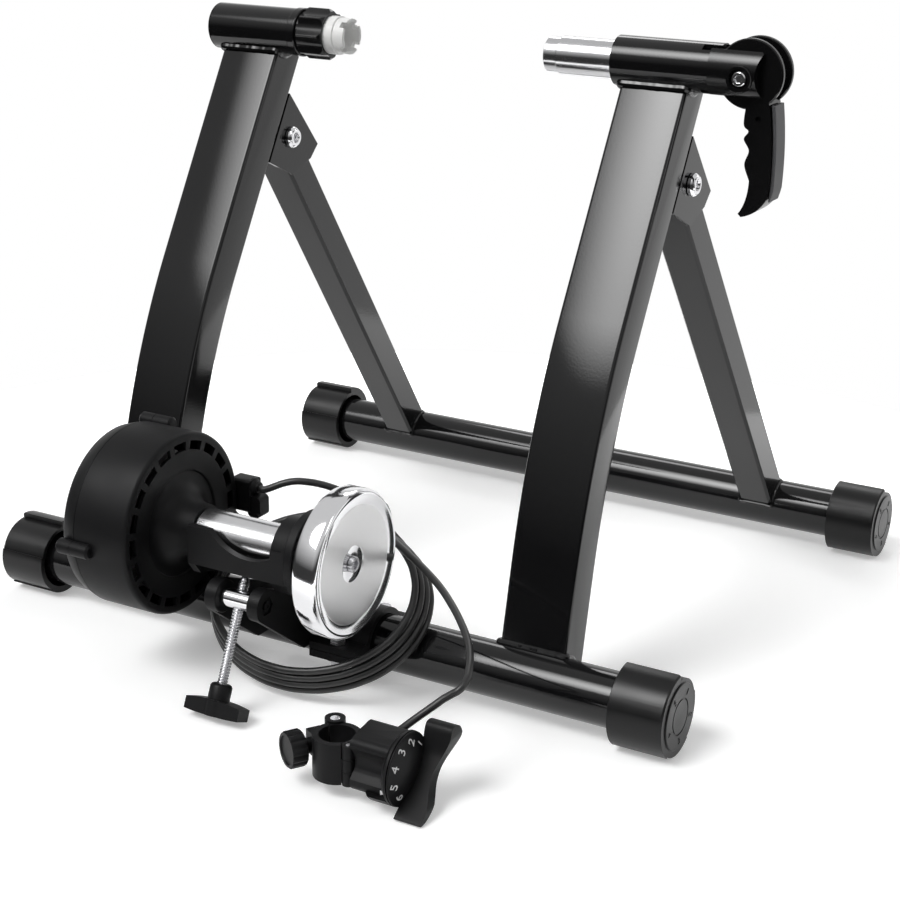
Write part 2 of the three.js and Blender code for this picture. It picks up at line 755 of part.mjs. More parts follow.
// Left clamp
function leftClamp() {
  const group = new THREE.Group();
  const tubeFace = leftTubeEnd + collarLength;
  group.add(piece('left_clamp_tube', turnedX([
    [leftTubeStart, leftBore], [leftTubeStart, clampTubeRadius], [leftTubeEnd, clampTubeRadius],
    [leftTubeEnd, collarRadius], [tubeFace, collarRadius], [tubeFace, leftBore],
    [leftTubeStart, leftBore],
  ]), blackPaint));
  group.add(piece('left_tube_plug', turnedX([
    [leftTubeStart - seat - plugFlange, 0], [leftTubeStart - seat - plugFlange, clampTubeRadius - plugFlange],
    [leftTubeStart - seat, clampTubeRadius], [leftTubeStart - seat, leftBore - seat],
    [leftTubeStart + plugDepth, leftBore - seat], [leftTubeStart + plugDepth, 0],
  ]), mouldedBlack));
  const knobStart = tubeFace + seat;
  const knobBody = plateX(fluted(knobRadius, knobFluteDepth, knobFlutes, 4), knobStart,
    knobStart + knobLength, knobEdge);
  const knobBore = rodX(cupCollarRadius + play, knobStart - overrun, knobStart + knobLength + overrun);
  group.add(piece('lock_knob', carve(knobBody, knobBore), mouldedBlack));
  const noseStart = cupTip - cupNotchDepth * 2;
  const cup = turnedX([
    [noseStart - cupCollarLength - cupThreadLength, 0],
    [noseStart - cupCollarLength - cupThreadLength, cupThreadRadius],
    [noseStart - cupCollarLength, cupThreadRadius], [noseStart - cupCollarLength, cupCollarRadius],
    [noseStart, cupCollarRadius], [noseStart, cupNoseRadius], [cupTip, cupNoseRadius],
    [cupTip, cupRecessRadius], [cupTip - cupRecessDepth, cupRecessBottomRadius],
    [cupTip - cupRecessDepth, 0],
  ]);
  const notches = [];
  for (let k = 0; k < cupNotches / 2; k += 1) {
    const notch = box(cupTip - cupNotchDepth, cupTip + overrun, -cupNoseRadius - overrun,
      cupNoseRadius + overrun, -cupNotchWidth / 2, cupNotchWidth / 2);
    notches.push(notch.rotateX(Math.PI / 4 + (k * 2 * Math.PI) / cupNotches));
  }
  group.add(piece('axle_cup', carve(cup, ...notches), whiteNylon));
  return group;
}

// Right clamp: the cam between the lever's two round flanges pushes the ram's tongue
function rightClamp() {
  const group = new THREE.Group();
  const slotWidth = [flangeInner - play, flangeOuter + play];
  const slots = [-1, 1].map((side) => {
    const faces = slotWidth.map((y) => side * y).sort((p, q) => p - q);
    return box(slotStart, rightTubeEnd + overrun, faces[0], faces[1],
      -clampTubeRadius - overrun, clampTubeRadius + overrun);
  });
  const tube = ringX(rightBore, clampTubeRadius, rightTubeStart, rightTubeEnd);
  group.add(piece('right_clamp_tube', carve(tube, ...slots), blackPaint));

  const camBack = pivotX - camThrow - camRadius;
  const tongueEnd = camBack - tongueGap;
  const ramBody = turnedX([
    [ramShoulder, 0], [ramShoulder, ramRadius], [ramTip + ramTipLength, ramRadius],
    [ramTip + ramTipLength, ramTipRadius], [ramTip, ramTipRadius], [ramTip, ramRecessRadius],
    [ramTip + ramRecessDepth, ramRecessRadius], [ramTip + ramRecessDepth, 0],
  ]);
  const tongue = box(ramShoulder - overrun, tongueEnd, -tongueThickness / 2, tongueThickness / 2,
    -tongueHeight / 2, tongueHeight / 2);
  group.add(piece('ram', fuse(ramBody, tongue), chrome));

  group.add(camLever());
  group.add(leverSpine());
  group.add(cheek('front_lever_cheek', -1), cheek('rear_lever_cheek', 1));
  const boltEnd = cheekOuter + cheekBossRise;
  const shank = rodY(pivotBoltRadius, -boltEnd, boltEnd + seat);
  const socket = plateY(hexagon(0, 0, pivotHeadRadius), -boltEnd - pivotHeadHeight - overrun,
    -boltEnd - pivotHeadHeight / 2);
  const head = rodY(pivotHeadRadius, -boltEnd - pivotHeadHeight, -boltEnd + seat);
  const tail = rodY(pivotHeadRadius, boltEnd + seat, boltEnd + pivotHeadHeight);
  const bolt = piece('lever_pivot_bolt', carve(fuse(shank, head, tail), socket), chrome);
  bolt.position.set(pivotX, 0, -pivotDrop);
  group.add(bolt);
  return group;
}

// Finger-grip handle, drawn in (X, Z) from the axle line
function handleOutline() {
  const top = handleTop - clampHeight;
  const tip = handleTip - clampHeight;
  const length = top - tip;
  const at = (widthShare, lengthShare) => [
    handleLeft + widthShare * handleWidth, top - lengthShare * length];
  const shape = new THREE.Shape();
  const overlapIntoFlange = flangeRadius / 2;
  shape.moveTo(handleLeft + 0.08 * handleWidth, top + overlapIntoFlange);
  const gripShares = [[0, 0.1], [0.2, 0.17], [0.04, 0.25], [0.26, 0.36], [0.12, 0.5], [0.34, 0.66]];
  const grip = gripShares.map((shares) => new THREE.Vector2(...at(...shares)));
  shape.splineThru(grip);
  shape.quadraticCurveTo(...at(0.32, 0.88), ...at(-0.02, 1));
  shape.lineTo(...at(0.1, 1.03));
  shape.quadraticCurveTo(...at(0.75, 0.99), ...at(1.08, 0.82));
  shape.quadraticCurveTo(...at(1.22, 0.5), ...at(1, 0));
  shape.lineTo(handleLeft + handleWidth * 0.9, top + overlapIntoFlange);
  return shape;
}

function camLever() {
  const centre = [pivotX + flangeOffset, -pivotDrop + flangeRise];
  const flanges = [-1, 1].map((side) => {
    const [low, high] = side < 0 ? [-flangeOuter, -flangeInner] : [flangeInner, flangeOuter];
    return plateY(disc(...centre, flangeRadius), low, high, flangeEdge, 10);
  });
  const cam = plateY(disc(pivotX - camThrow, -pivotDrop, camRadius), -flangeInner - seat,
    flangeInner + seat);
  const handle = plateY(handleOutline(), -handleThickness / 2, handleThickness / 2, handleEdge, 3);
  const hole = rodY(pivotBoltRadius + seat, -cheekOuter, cheekOuter)
    .translate(pivotX, 0, -pivotDrop);
  const screwHole = rodY(handleScrewRadius, -handleThickness, -handleThickness / 2 + handleScrewDepth)
    .translate(handleLeft + handleScrewShare * handleWidth, 0,
      handleTop - clampHeight - handleScrewDrop);
  return piece('cam_lever', carve(fuse(...flanges, cam, handle), hole, screwHole), mouldedBlack);
}

function leverSpine() {
  const half = handleThickness / 2 - spineInset;
  const top = handleTop - clampHeight;
  const length = handleTop - handleTip;
  const edge = (share) => handleLeft + handleWidth * (1 + 0.44 * share * (1 - share)) + seat;
  const shape = new THREE.Shape();
  const steps = 8;
  const inner = [];
  const outer = [];
  for (let k = 0; k <= steps; k += 1) {
    const share = (0.82 * k) / steps;
    inner.push([edge(share) + seat, top - share * length]);
    outer.push([edge(share) + seat + spineThickness * Math.min(1, 6 * (1 - share) - 0.5),
      top - share * length]);
  }
  shape.setFromPoints([...inner, ...outer.reverse()].map(([u, v]) => new THREE.Vector2(u, v)));
  return piece('lever_spine', plateY(shape, -half, half), greyGrip);
}

function cheek(name, side) {
  const inner = flangeOuter + play;
  const plate = plateY(roundedRectangle(cheekBack, cheekFront, -cheekBottom, cheekTop, cheekCorner),
    inner, cheekOuter, cheekEdge, 3);
  const lipRing = ringX(clampTubeRadius + seat, cheekOuter, cheekBack - cheekLip, cheekBack + overrun);
  const lip = overlap(lipRing, box(cheekBack - cheekLip - overrun, cheekBack + 2 * overrun, inner,
    cheekOuter + overrun, -cheekBottom, cheekTop));
  const boss = rodY(cheekBossRadius, inner + seat, cheekOuter + cheekBossRise, 20)
    .translate(pivotX, 0, -pivotDrop);
  const hole = rodY(pivotBoltRadius + seat, 0, cheekOuter + 2 * overrun)
    .translate(pivotX, 0, -pivotDrop);
  const pocket = rodY(pivotHeadRadius + seat, cheekOuter + cheekBossRise - seat,
    cheekOuter + 2 * overrun).translate(pivotX, 0, -pivotDrop);
  const solid = carve(fuse(plate, lip, boss), hole, pocket);
  if (side < 0) solid.scale(1, -1, 1);
  return piece(name, solid, mouldedBlack);
}

// Resistance unit, all on the roller axis
function rotor() {
  const group = new THREE.Group();
  group.add(piece('drive_shaft', rodX(shaftRadius, housingBack + shaftInset,
    flywheelFace - shaftDepth, smallSides), bareSteel));
  group.add(piece('roller', ringX(shaftRadius + seat, rollerRadius,
    yokeLeft + yokeLeftCheek + 2 * play, yokeRight - yokeRightCheek - 2 * play), chrome));
  const hubEdge = flywheelFace - flywheelHubDepth;
  const flywheel = turnedX([
    [flywheelBack, shaftRadius + seat], [flywheelBack, flywheelRadius - flywheelEdge],
    [flywheelBack + flywheelEdge, flywheelRadius], [flywheelFace - flywheelEdge, flywheelRadius],
    [flywheelFace - flywheelEdge * 0.3, flywheelRadius - flywheelEdge * 0.3],
    [flywheelFace, flywheelRadius - flywheelEdge],
    [flywheelFace - flywheelDish, flywheelRadius * 0.5],
    [flywheelFace - flywheelDish, flywheelHubRadius], [hubEdge, flywheelHubRadius - flywheelHubTaper],
    [hubEdge, shaftRadius + seat], [flywheelBack, shaftRadius + seat],
  ], largeSides);
  group.add(piece('flywheel', flywheel, chrome));
  const screwHead = rodX(flywheelScrewRadius, hubEdge + seat, hubEdge + seat + flywheelScrewHead,
    smallSides);
  const screwSocket = plateX(hexagon(0, 0, flywheelScrewRadius), hubEdge + flywheelScrewHead / 2,
    hubEdge + flywheelScrewHead + overrun);
  const screwStem = rodX(shaftRadius - flywheelStemInset, flywheelFace - shaftDepth + seat,
    hubEdge + flywheelScrewHead / 3, smallSides);
  group.add(piece('flywheel_screw', carve(fuse(screwHead, screwStem), screwSocket), bareSteel));
  const rotorDisc = turnedX([
    [rotorPlace - rotorThickness, shaftRadius + seat], [rotorPlace - rotorThickness, rotorRadius],
    [rotorPlace, rotorRadius], [rotorPlace, rotorHubRadius],
    [rotorPlace + rotorHubLength, rotorHubRadius], [rotorPlace + rotorHubLength, shaftRadius + seat],
    [rotorPlace - rotorThickness, shaftRadius + seat],
  ]);
  group.add(piece('rotor_disc', rotorDisc, castAlloy));
  return group;
}

function magnetPlate(name, place, facing) {
  const plate = ringX(magnetPlateBore, magnetPlateRadius, place, place + magnetPlateThickness);
  const magnets = [];
  for (let k = 0; k < magnetCount; k += 1) {
    const angle = (2 * Math.PI * k) / magnetCount;
    const start = facing > 0 ? place + magnetPlateThickness - seat : place - magnetThickness;
    magnets.push(rodX(magnetRadius, start, start + magnetThickness + seat, 6)
      .translate(0, magnetCircle * Math.cos(angle), magnetCircle * Math.sin(angle)));
  }
  return piece(name, fuse(plate, ...magnets), castAlloy);
}

function bossCentres() {
  const centres = [];
  for (let k = 0; k < bossCount; k += 1) {
    const angle = bossStart - (2 * Math.PI * k) / bossCount;
    centres.push([bossReach * Math.cos(angle), bossReach * Math.sin(angle)]);
  }
  return centres;
}

function housingFront() {
  const wall = housingWall;
  const shoulder = housingRadius - housingShoulder;
  const dishFace = housingFace - hubDish;
  const flare = [];
  const flareSteps = 4;
  for (let k = 0; k <= flareSteps; k += 1) {
    const turn = (k / flareSteps) * (Math.PI / 2);
    flare.push([
      dishFace + (hubNose - dishFace) * (1 - Math.cos(turn)),
      hubFlareRadius - (hubFlareRadius - hubNoseRadius) * Math.sin(turn)]);
  }
  const outer = [[housingSeam + seat, housingRadius], [housingFace - 0.6 * housingShoulder, housingRadius],
    [housingFace, shoulder], ...flare];
  const inner = [[hubNose, hubNoseRadius - wall], [dishFace - wall, hubNoseRadius - wall],
    [dishFace - wall, hubFlareRadius], [housingFace - wall, shoulder - wall],
    [housingSeam + seat, housingRadius - wall]];
  const shell = turnedX([...outer, ...inner, [housingSeam + seat, housingRadius]], largeSides);
  const vents = [];
  const slotAngle = (2 * Math.PI * ventArcShare) / ventCount;
  for (let k = 0; k < ventCount; k += 1) {
    const slot = new THREE.Shape();
    slot.absarc(0, 0, ventRadius + ventDepth / 2, -slotAngle / 2, slotAngle / 2, false);
    slot.absarc(0, 0, ventRadius - ventDepth / 2, slotAngle / 2, -slotAngle / 2, true);
    vents.push(plateX(slot, housingFace - 3 * wall, housingFace + overrun, 0, 1)
      .rotateX((2 * Math.PI * k) / ventCount));
  }
  const bosses = bossCentres().map(([y, z]) => rodX(bossRadius, housingSeam + seat, bossFront, smallSides)
    .translate(0, y, z));
  const well = rodX(housingRadius - wall, housingSeam - overrun, dishFace - 2 * wall, largeSides);
  return piece('housing_front_shell', carve(fuse(shell, ...bosses), well, ...vents), mouldedBlack);
}

function housingBackShell() {
  const wall = housingWall;
  const edge = housingRadius - housingBackRadius;
  const shell = turnedX([
    [housingBack, 0], [housingBack, housingBackRadius - edge],
    [housingBack + edge * 0.6, housingBackRadius], [housingSeam, housingRadius],
    [housingSeam, housingRadius - wall], [housingBack + wall + edge, housingBackRadius - wall],
    [housingBack + wall, housingBackRadius - wall - edge], [housingBack + wall, 0],
  ], largeSides);
  const bosses = bossCentres().map(([y, z]) => rodX(bossRadius, bossBack, housingSeam, smallSides)
    .translate(0, y, z));
  const well = rodX(housingRadius - wall - edge, housingBack + wall + edge, housingSeam + overrun, largeSides);
  return piece('housing_back_shell', carve(fuse(shell, ...bosses), well), mouldedBlack);
}

function cablePort() {
  const innerY = housingRadius + seat;
  const start = housingFace - portInset;
  const block = box(start, start + portWidth, innerY, innerY + portDepth,
    -portHeight / 2, portHeight / 2);
  const snout = rodX(cableRadius + portSnoutWall, start + portWidth - seat, start + portLength, 16)
    .translate(0, innerY + portDepth / 2, portHeight / 4);
  return piece('cable_port', fuse(block, snout), mouldedBlack);
}

// The tilt pivot and adjuster pad, measured from the roller axis
const pivotOffset = [tiltPivotBackset - rollerSetback, tiltPivotHeight - rollerHeight];
const rodAxis = [Math.sin(rodLean), Math.cos(rodLean)];
const padCentre = [
  earSetback + (rodTip + seat) * rodAxis[0] - rollerSetback,
  earHeight + (rodTip + seat) * rodAxis[1] - rollerHeight];

function yoke() {
  const cheekSide = (start, end) => {
    const arm = plateX(link(0, 0, yokeRingRadius, ...pivotOffset, yokePivotRadius), start, end);
    const chin = plateX(polygon([
      [-yokePlateFront, yokeChinRootShare * yokePlateTop], [-yokePlateFront, -yokePlateBottom],
      ...yokeChinShares.map(([along, down], k) => [along * yokePlateFront,
        k === 2 ? 0 : -yokePlateBottom - down * yokeChinDrop])]), start, end);
    return fuse(arm, chin);
  };
  const left = cheekSide(yokeLeft, yokeLeft + yokeLeftCheek);
  const right = cheekSide(yokeRight - yokeRightCheek, yokeRight);
  const span = yokeRight - yokeLeft;
  const front = box(yokeLeft + seat, yokeRight - seat, -yokePlateFront,
    -yokePlateFront + yokePlateThickness, -yokePlateBottom, yokePlateTop);
  const scoop = plateY(disc(yokeLeft + span * yokeScoopShare,
    yokePlateTop - yokeScoopDepth + yokeScoopRadius, yokeScoopRadius),
  -yokePlateFront - overrun, -yokePlateFront + yokePlateThickness + overrun, 0, 12);
  const pad = box(yokeLeft + seat, yokeRight - seat, -padLength / 4, (padLength * 3) / 4, 0, padThickness)
    .rotateX(-rodLean).translate(0, ...padCentre);
  const shaftHole = rodX(shaftRadius + play, yokeLeft - overrun, yokeRight + overrun, smallSides);
  const bearingSeats = [
    rodX(bearingOuter + seat, yokeLeft - overrun, yokeLeft + yokeLeftCheek + overrun),
    rodX(bearingOuter + seat, yokeRight - bearingWidth - seat, yokeRight + overrun)];
  const pivotHole = rodX(tiltBoltRadius + seat, yokeLeft - overrun, yokeRight + overrun, smallSides)
    .translate(0, ...pivotOffset);
  return piece('yoke', carve(fuse(left, right, carve(front, scoop), pad), shaftHole,
    ...bearingSeats, pivotHole), mouldedBlack);
}

function resistanceUnit() {
  const group = new THREE.Group();
  group.position.set(0, rollerSetback, rollerHeight);
  group.add(rotor(), yoke(), housingFront(), housingBackShell(), cablePort());
  group.add(magnetPlate('fixed_magnet_plate', rotorPlace + magnetThickness + magnetGap, -1));
  group.add(magnetPlate('turning_magnet_plate', rotorPlace - rotorThickness - magnetThickness
    - magnetPlateThickness - magnetGap / 2, 1));
  group.add(piece('left_bearing', ringX(shaftRadius + seat / 3, bearingOuter, yokeLeft,
    yokeLeft + yokeLeftCheek), bareSteel));
  group.add(piece('right_bearing', ringX(shaftRadius + seat / 3, bearingOuter,
    yokeRight - bearingWidth, yokeRight), bareSteel));
  group.add(piece('bearing_collar', turnedX([
    [yokeRight + seat, shaftRadius + play], [yokeRight + seat, collarDiscRadius],
    [yokeRight + collarDiscStep, collarDiscRadius], [yokeRight + collarDiscStep, collarDiscStepRadius],
    [collarDiscEnd, collarDiscStepRadius - collarDiscTaper], [collarDiscEnd, shaftRadius + play],
    [yokeRight + seat, shaftRadius + play],
  ]), mouldedBlack));
  return group;
}

// Bracket clamped round the front bar
function unitBracket() {
  const saddleOuter = barRadius + seat + saddleThickness;
  const rightCheekEnd = bracketRightCheek + bracketCheek;
  const cheekSide = (start, end) => fuse(
    plateX(link(0, barHeight, saddleOuter, earSetback, earHeight, earRadius), start, end),
    plateX(link(0, barHeight, saddleOuter, tiltPivotBackset, tiltPivotHeight, tiltLugRadius),
      start, end));
  const saddle = rodX(saddleOuter, bracketLeft, bracketRightEnd).translate(0, 0, barHeight);
  const lug = box(lugStart, bracketRightEnd, -lugReach, lugReach, barHeight,
    barHeight + lugThickness);
  const ears = [
    rodX(earRadius, bracketLeft, bracketLeft + earWidth, 20),
    rodX(earRadius, rightCheekEnd - earWidth, rightCheekEnd, 20),
  ].map((ear) => ear.translate(0, earSetback, earHeight));
  const body = fuse(cheekSide(bracketLeft, bracketLeft + bracketCheek),
    cheekSide(bracketRightCheek, rightCheekEnd), saddle, lug, ...ears);
  const bore = rodX(barRadius + seat, bracketLeft - overrun, bracketRightEnd + overrun)
    .translate(0, 0, barHeight);
  const below = box(bracketLeft - overrun, bracketRightEnd + overrun, -2 * saddleOuter,
    2 * saddleOuter, -overrun, barHeight + seat);
  const dowelHole = rodX(dowelTrunnion + seat, bracketLeft + bracketCheek / 2,
    rightCheekEnd - bracketCheek / 2, smallSides).translate(0, earSetback, earHeight);
  const hexRecess = plateX(hexagon(earSetback, earHeight, earRadius), rightCheekEnd - earRecess,
    rightCheekEnd + overrun);
  const pivotHole = rodX(tiltBoltRadius + seat, bracketLeft - overrun, rightCheekEnd + overrun,
    smallSides).translate(0, tiltPivotBackset, tiltPivotHeight);
  return piece('unit_bracket', carve(body, bore, below, dowelHole, hexRecess, pivotHole,
    ...lugBoltHoles()), mouldedBlack);
}

function lugBoltPlaces() {
  const x = (lugStart + bracketRightEnd) / 2;
  const y = (barRadius + saddleThickness + lugReach) / 2;
  return [[x, -y], [x, y]];
}

function lugBoltHoles() {
  return lugBoltPlaces().map(([x, y]) => rodZ(lugBoltRadius + seat, 0,
    barHeight + lugThickness + overrun).translate(x, y, 0));
}

function clampStrap() {
  const outer = barRadius + seat + saddleThickness;
  const ring = rodX(outer, lugStart, bracketRightEnd).translate(0, 0, barHeight);
  const lug = box(lugStart, bracketRightEnd, -lugReach, lugReach, barHeight - lugThickness, barHeight);
  const bore = rodX(barRadius + seat, lugStart - overrun, bracketRightEnd + overrun)
    .translate(0, 0, barHeight);
  const above = box(lugStart - overrun, bracketRightEnd + overrun, -2 * outer, 2 * outer,
    barHeight - seat, barHeight + 2 * outer);
  return piece('bar_clamp_strap', carve(fuse(ring, lug), bore, above, ...lugBoltHoles()), mouldedBlack);
}

function clampBolt(name, [x, y]) {
  const under = barHeight - lugThickness - seat;
  const shank = rodZ(lugBoltRadius, under - lugBoltHead, barHeight + lugThickness + lugBoltHead - lugBoltTip);
  const head = plateZ(hexagon(0, 0, lugBoltAcross), barHeight + lugThickness + seat,
    barHeight + lugThickness + lugBoltHead);
  const nut = plateZ(hexagon(0, 0, lugBoltAcross), under - lugBoltHead, under);
  const mesh = piece(name, fuse(shank, head, nut), bareSteel);
  mesh.position.set(x, y, 0);
  return mesh;
}

function bracketGroup() {
  const group = new THREE.Group();
  group.add(unitBracket(), clampStrap());
  lugBoltPlaces().forEach((place, k) => group.add(
    clampBolt(k === 0 ? 'front_clamp_bolt' : 'rear_clamp_bolt', place)));
  const boltEnd = yokeRight + seat;
  const shank = rodX(tiltBoltRadius, yokeLeft - seat - tiltBoltHeadHeight, boltEnd + seat, smallSides);
  const head = plateX(hexagon(0, 0, 2 * tiltBoltHeadRadius), boltEnd, boltEnd + tiltBoltHeadHeight);
  const nut = plateX(hexagon(0, 0, 2 * tiltBoltHeadRadius), yokeLeft - seat - tiltBoltHeadHeight,
    yokeLeft - seat);
  const bolt = piece('tilt_pivot_bolt', fuse(shank, head, nut), bareSteel);
  bolt.position.set(0, tiltPivotBackset, tiltPivotHeight);
  group.add(bolt);
  return group;
}

// Adjuster: threaded rod through the cross dowel, its tip under the yoke's pad
function adjuster() {
  const group = new THREE.Group();
  const centreX = (bracketLeft + bracketRightCheek + bracketCheek) / 2;
  group.position.set(centreX, earSetback, earHeight);
  const halfGap = (bracketRightCheek + bracketCheek - bracketLeft) / 2 - earWidth;
  const trunnion = halfGap + earWidth - bracketCheek;
  const lean = new THREE.Group();
  lean.rotation.x = -rodLean;
  const dowel = fuse(rodX(dowelRadius, -halfGap + play, halfGap - play, 20),
    rodX(dowelTrunnion, -trunnion, trunnion, smallSides));
  const threadHole = rodZ(rodRadius + seat, -dowelRadius - overrun, dowelRadius + overrun);
  lean.add(piece('cross_dowel', carve(dowel, threadHole), chrome));
  const rod = turnedX([[rodFoot, 0], [rodFoot, rodRadius], [rodTip - rodPoint, rodRadius],
    [rodTip, rodRadius - rodPoint / 2], [rodTip, 0]], smallSides).rotateY(-Math.PI / 2);
  lean.add(piece('adjuster_rod', rod, bareSteel));
  const bar = new THREE.Shape();
  const halfBar = grubBarLength / 2;
  const halfHeight = grubBarHeight / 2;
  bar.moveTo(-halfBar, -halfHeight);
  bar.quadraticCurveTo(0, -halfHeight - grubBarBelly, halfBar, -halfHeight);
  bar.lineTo(halfBar, halfHeight * 0.4);
  bar.quadraticCurveTo(0, halfHeight + grubBarCrown, -halfBar, halfHeight * 0.4);
  const wing = plateY(bar, -grubBarThickness / 2, grubBarThickness / 2, grubBarEdge, 6);
  const hub = rodZ(grubHubRadius, 0, halfHeight + grubHubLength, 24);
  const socket = rodZ(rodRadius + seat, rodFoot - grubCentre - seat, halfHeight + grubHubLength
    + overrun);
  const knob = piece('adjuster_knob', carve(fuse(wing, hub), socket), mouldedBlack);
  knob.position.z = grubCentre;
  lean.add(knob);
  group.add(lean);
  return group;
}

// Remote shifter: body with the fixed half of its handlebar clamp
function turnedClamp(geometry) {
  return geometry.rotateZ(clampTurn).translate(clampX, clampY, 0);
}

function halfBand(from, to) {
  const shape = new THREE.Shape();
  shape.absarc(0, 0, clampBore + clampWall, from, to, false);
  shape.absarc(0, 0, clampBore, to, from, true);
  return plateZ(shape, clampBottom, clampTop, 0, 6);
}

const pinOffset = clampBore + clampWall + seat;

function barrel(radius, start, end) {
  return rodZ(radius, start, end, 16).translate(0, -pinOffset, 0);
}

const knuckle = [clampBottom + (clampTop - clampBottom) / 3, clampTop - (clampTop - clampBottom) / 3];

function tab(start, end) {
  const middle = (clampBottom + clampTop) / 2;
  return box(start, end, clampBore + clampWall / 2, screwOffset + tabReach,
    middle - tabHeight / 2, middle + tabHeight / 2);
}

function screwHole(start, end, radius) {
  return rodX(radius, start, end, 16).translate(0, screwOffset, (clampBottom + clampTop) / 2);
}

function shifterSection() {
  const rib = shifterRibRadius;
  const section = new THREE.Shape();
  section.moveTo(shifterBack, shifterBottom + rib);
  section.lineTo(shifterBack, shifterTop - rib);
  section.quadraticCurveTo(shifterBack, shifterTop, shifterBack - rib, shifterTop);
  section.lineTo(shifterFront + 2 * rib, shifterTop - rib / 4);
  section.absarc(shifterFront + rib, shifterTop - 1.5 * rib, rib, Math.PI / 2, Math.PI, false);
  section.quadraticCurveTo(shifterFront + rib, 0, shifterFront, shifterBottom + 3 * rib);
  section.absarc(shifterFront + rib, shifterBottom + 2.5 * rib, rib, Math.PI, 1.4 * Math.PI, false);
  section.quadraticCurveTo(0, shifterBottom, shifterBack, shifterBottom + rib);
  return section;
}

function shifterBody() {
  const block = plateX(shifterSection(), 0, shifterBodyLength, shifterEdge, 3);
  const stem = box(clampX + clampBore, seat + overrun, -clampBore / 2, clampBore / 2,
    clampBottom + clampWall, clampTop - clampWall);
  const band = halfBand(-Math.PI / 2 + clampSplit, Math.PI / 2 - clampSplit);
  const eye = rodZ(eyeRadius, clampTop - tabHeight - eyeRise, clampTop + eyeRise, 16)
    .translate(eyeRadius + seat, screwOffset, 0);
  const grip = fuse(band, barrel(hingeBarrelRadius, clampBottom, clampTop), eye);
  const whole = fuse(block, stem, turnedClamp(grip));
  return piece('shifter_body', carve(whole,
    turnedClamp(rodZ(clampBore, clampBottom - overrun, clampTop + overrun, 24)),
    turnedClamp(barrel(hingeBarrelRadius + play, ...knuckle)),
    turnedClamp(barrel(hingePinRadius + seat, clampBottom - overrun, clampTop + overrun)),
    turnedClamp(screwHole(-overrun, screwEnd + seat, screwHoleRadius)),
    turnedClamp(rodZ(eyePinRadius + seat, clampTop - overrun, clampTop + eyeRise + overrun, 12)
      .translate(eyeRadius + seat, screwOffset, 0))), mouldedBlack);
}

function shifterJaw() {
  const whole = fuse(halfBand(Math.PI / 2 + clampSplit, 1.5 * Math.PI - clampSplit),
    tab(-tabThickness, -seat));
  const clear = [
    barrel(hingeBarrelRadius + play, clampBottom - overrun, knuckle[0] + seat),
    barrel(hingeBarrelRadius + play, knuckle[1] - seat, clampTop + overrun)];
  const hinge = barrel(hingeBarrelRadius, knuckle[0] + seat, knuckle[1] - seat);
  return piece('shifter_jaw', turnedClamp(carve(fuse(carve(whole, ...clear), hinge),
    rodZ(clampBore, clampBottom - overrun, clampTop + overrun, 24),
    barrel(hingePinRadius + seat, clampBottom - overrun, clampTop + overrun),
    screwHole(-2 * tabThickness, overrun, screwHoleRadius))), mouldedBlack);
}

function shifterThumbScrew() {
  const neckEnd = -tabThickness - play;
  const knobEnd = thumbFace + thumbLength;
  const knob = plateX(fluted(thumbRadius, thumbFluteDepth, thumbFlutes, 3), thumbFace, knobEnd);
  const neck = rodX(thumbNeckRadius, knobEnd - seat, neckEnd, 20);
  const dish = rodX(thumbRadius * thumbDishShare, thumbFace - overrun, thumbFace + thumbDishDepth, 20);
  const shank = rodX(screwRadius, neckEnd - seat, screwEnd, 12);
  return piece('clamp_thumb_screw', turnedClamp(carve(fuse(knob, neck, shank), dish)
    .translate(0, screwOffset, (clampBottom + clampTop) / 2)), mouldedBlack);
}

function shifterLever() {
  const shares = [...wingFrontShares, ...wingBackShares];
  const curve = new THREE.CatmullRomCurve3(
    shares.map(([u, v]) => new THREE.Vector3(u * wingLength, v * wingLength, 0)), true, 'catmullrom', 0.5);
  const outline = new THREE.Shape(curve.getPoints(3 * shares.length).slice(1)
    .map((point) => new THREE.Vector2(point.x, point.y)));
  return piece('shifter_lever', plateX(outline, wingStart, wingEnd), mouldedBlack);
}

function shifterDial() {
  const start = shifterBodyLength + seat;
  return piece('shifter_dial', turnedX([
    [start, 0], [start, dialRadius - dialBevel], [start + dialBevel, dialRadius],
    [start + dialThickness - dialBevel, dialRadius], [start + dialThickness, dialRadius - dialBevel],
    [start + dialThickness, 0],
  ]), mouldedBlack);
}

function shifter() {
  const group = new THREE.Group();
  group.position.set(shifterX, shifterY, shifterAxisHeight);
  group.add(shifterBody(), shifterJaw(), shifterThumbScrew(), shifterDial(), shifterLever());
  group.add(piece('clamp_hinge_pin', turnedClamp(barrel(hingePinRadius, clampBottom, clampTop)),
    bareSteel));
  group.add(piece('clamp_eye_pin', turnedClamp(rodZ(eyePinRadius, clampTop - overrun + seat,
    clampTop + eyeRise - seat, 12).translate(eyeRadius + seat, screwOffset, 0)), chrome));
  return group;
}

// Cable: a lead from the port, a coil of four loops leaning over the front bar, and a tail
const coilAcross = new THREE.Vector3(1, 0, 0);
const coilUp = new THREE.Vector3(0, Math.cos(coilLean), Math.sin(coilLean));
const coilNormal = new THREE.Vector3().crossVectors(coilAcross, coilUp);

function coilPoint(turns) {
  const share = 1 - (1 - coilLastShare) * (turns / coilLoops) ** 1.5;
  const angle = coilStart - 2 * Math.PI * turns;
  return coilCentre.clone()
    .addScaledVector(coilAcross, share * coilHalfWidth * Math.cos(angle))
    .addScaledVector(coilUp, share * coilHalfHeight * Math.sin(angle))
    .addScaledVector(coilNormal, coilPitch * turns);
}

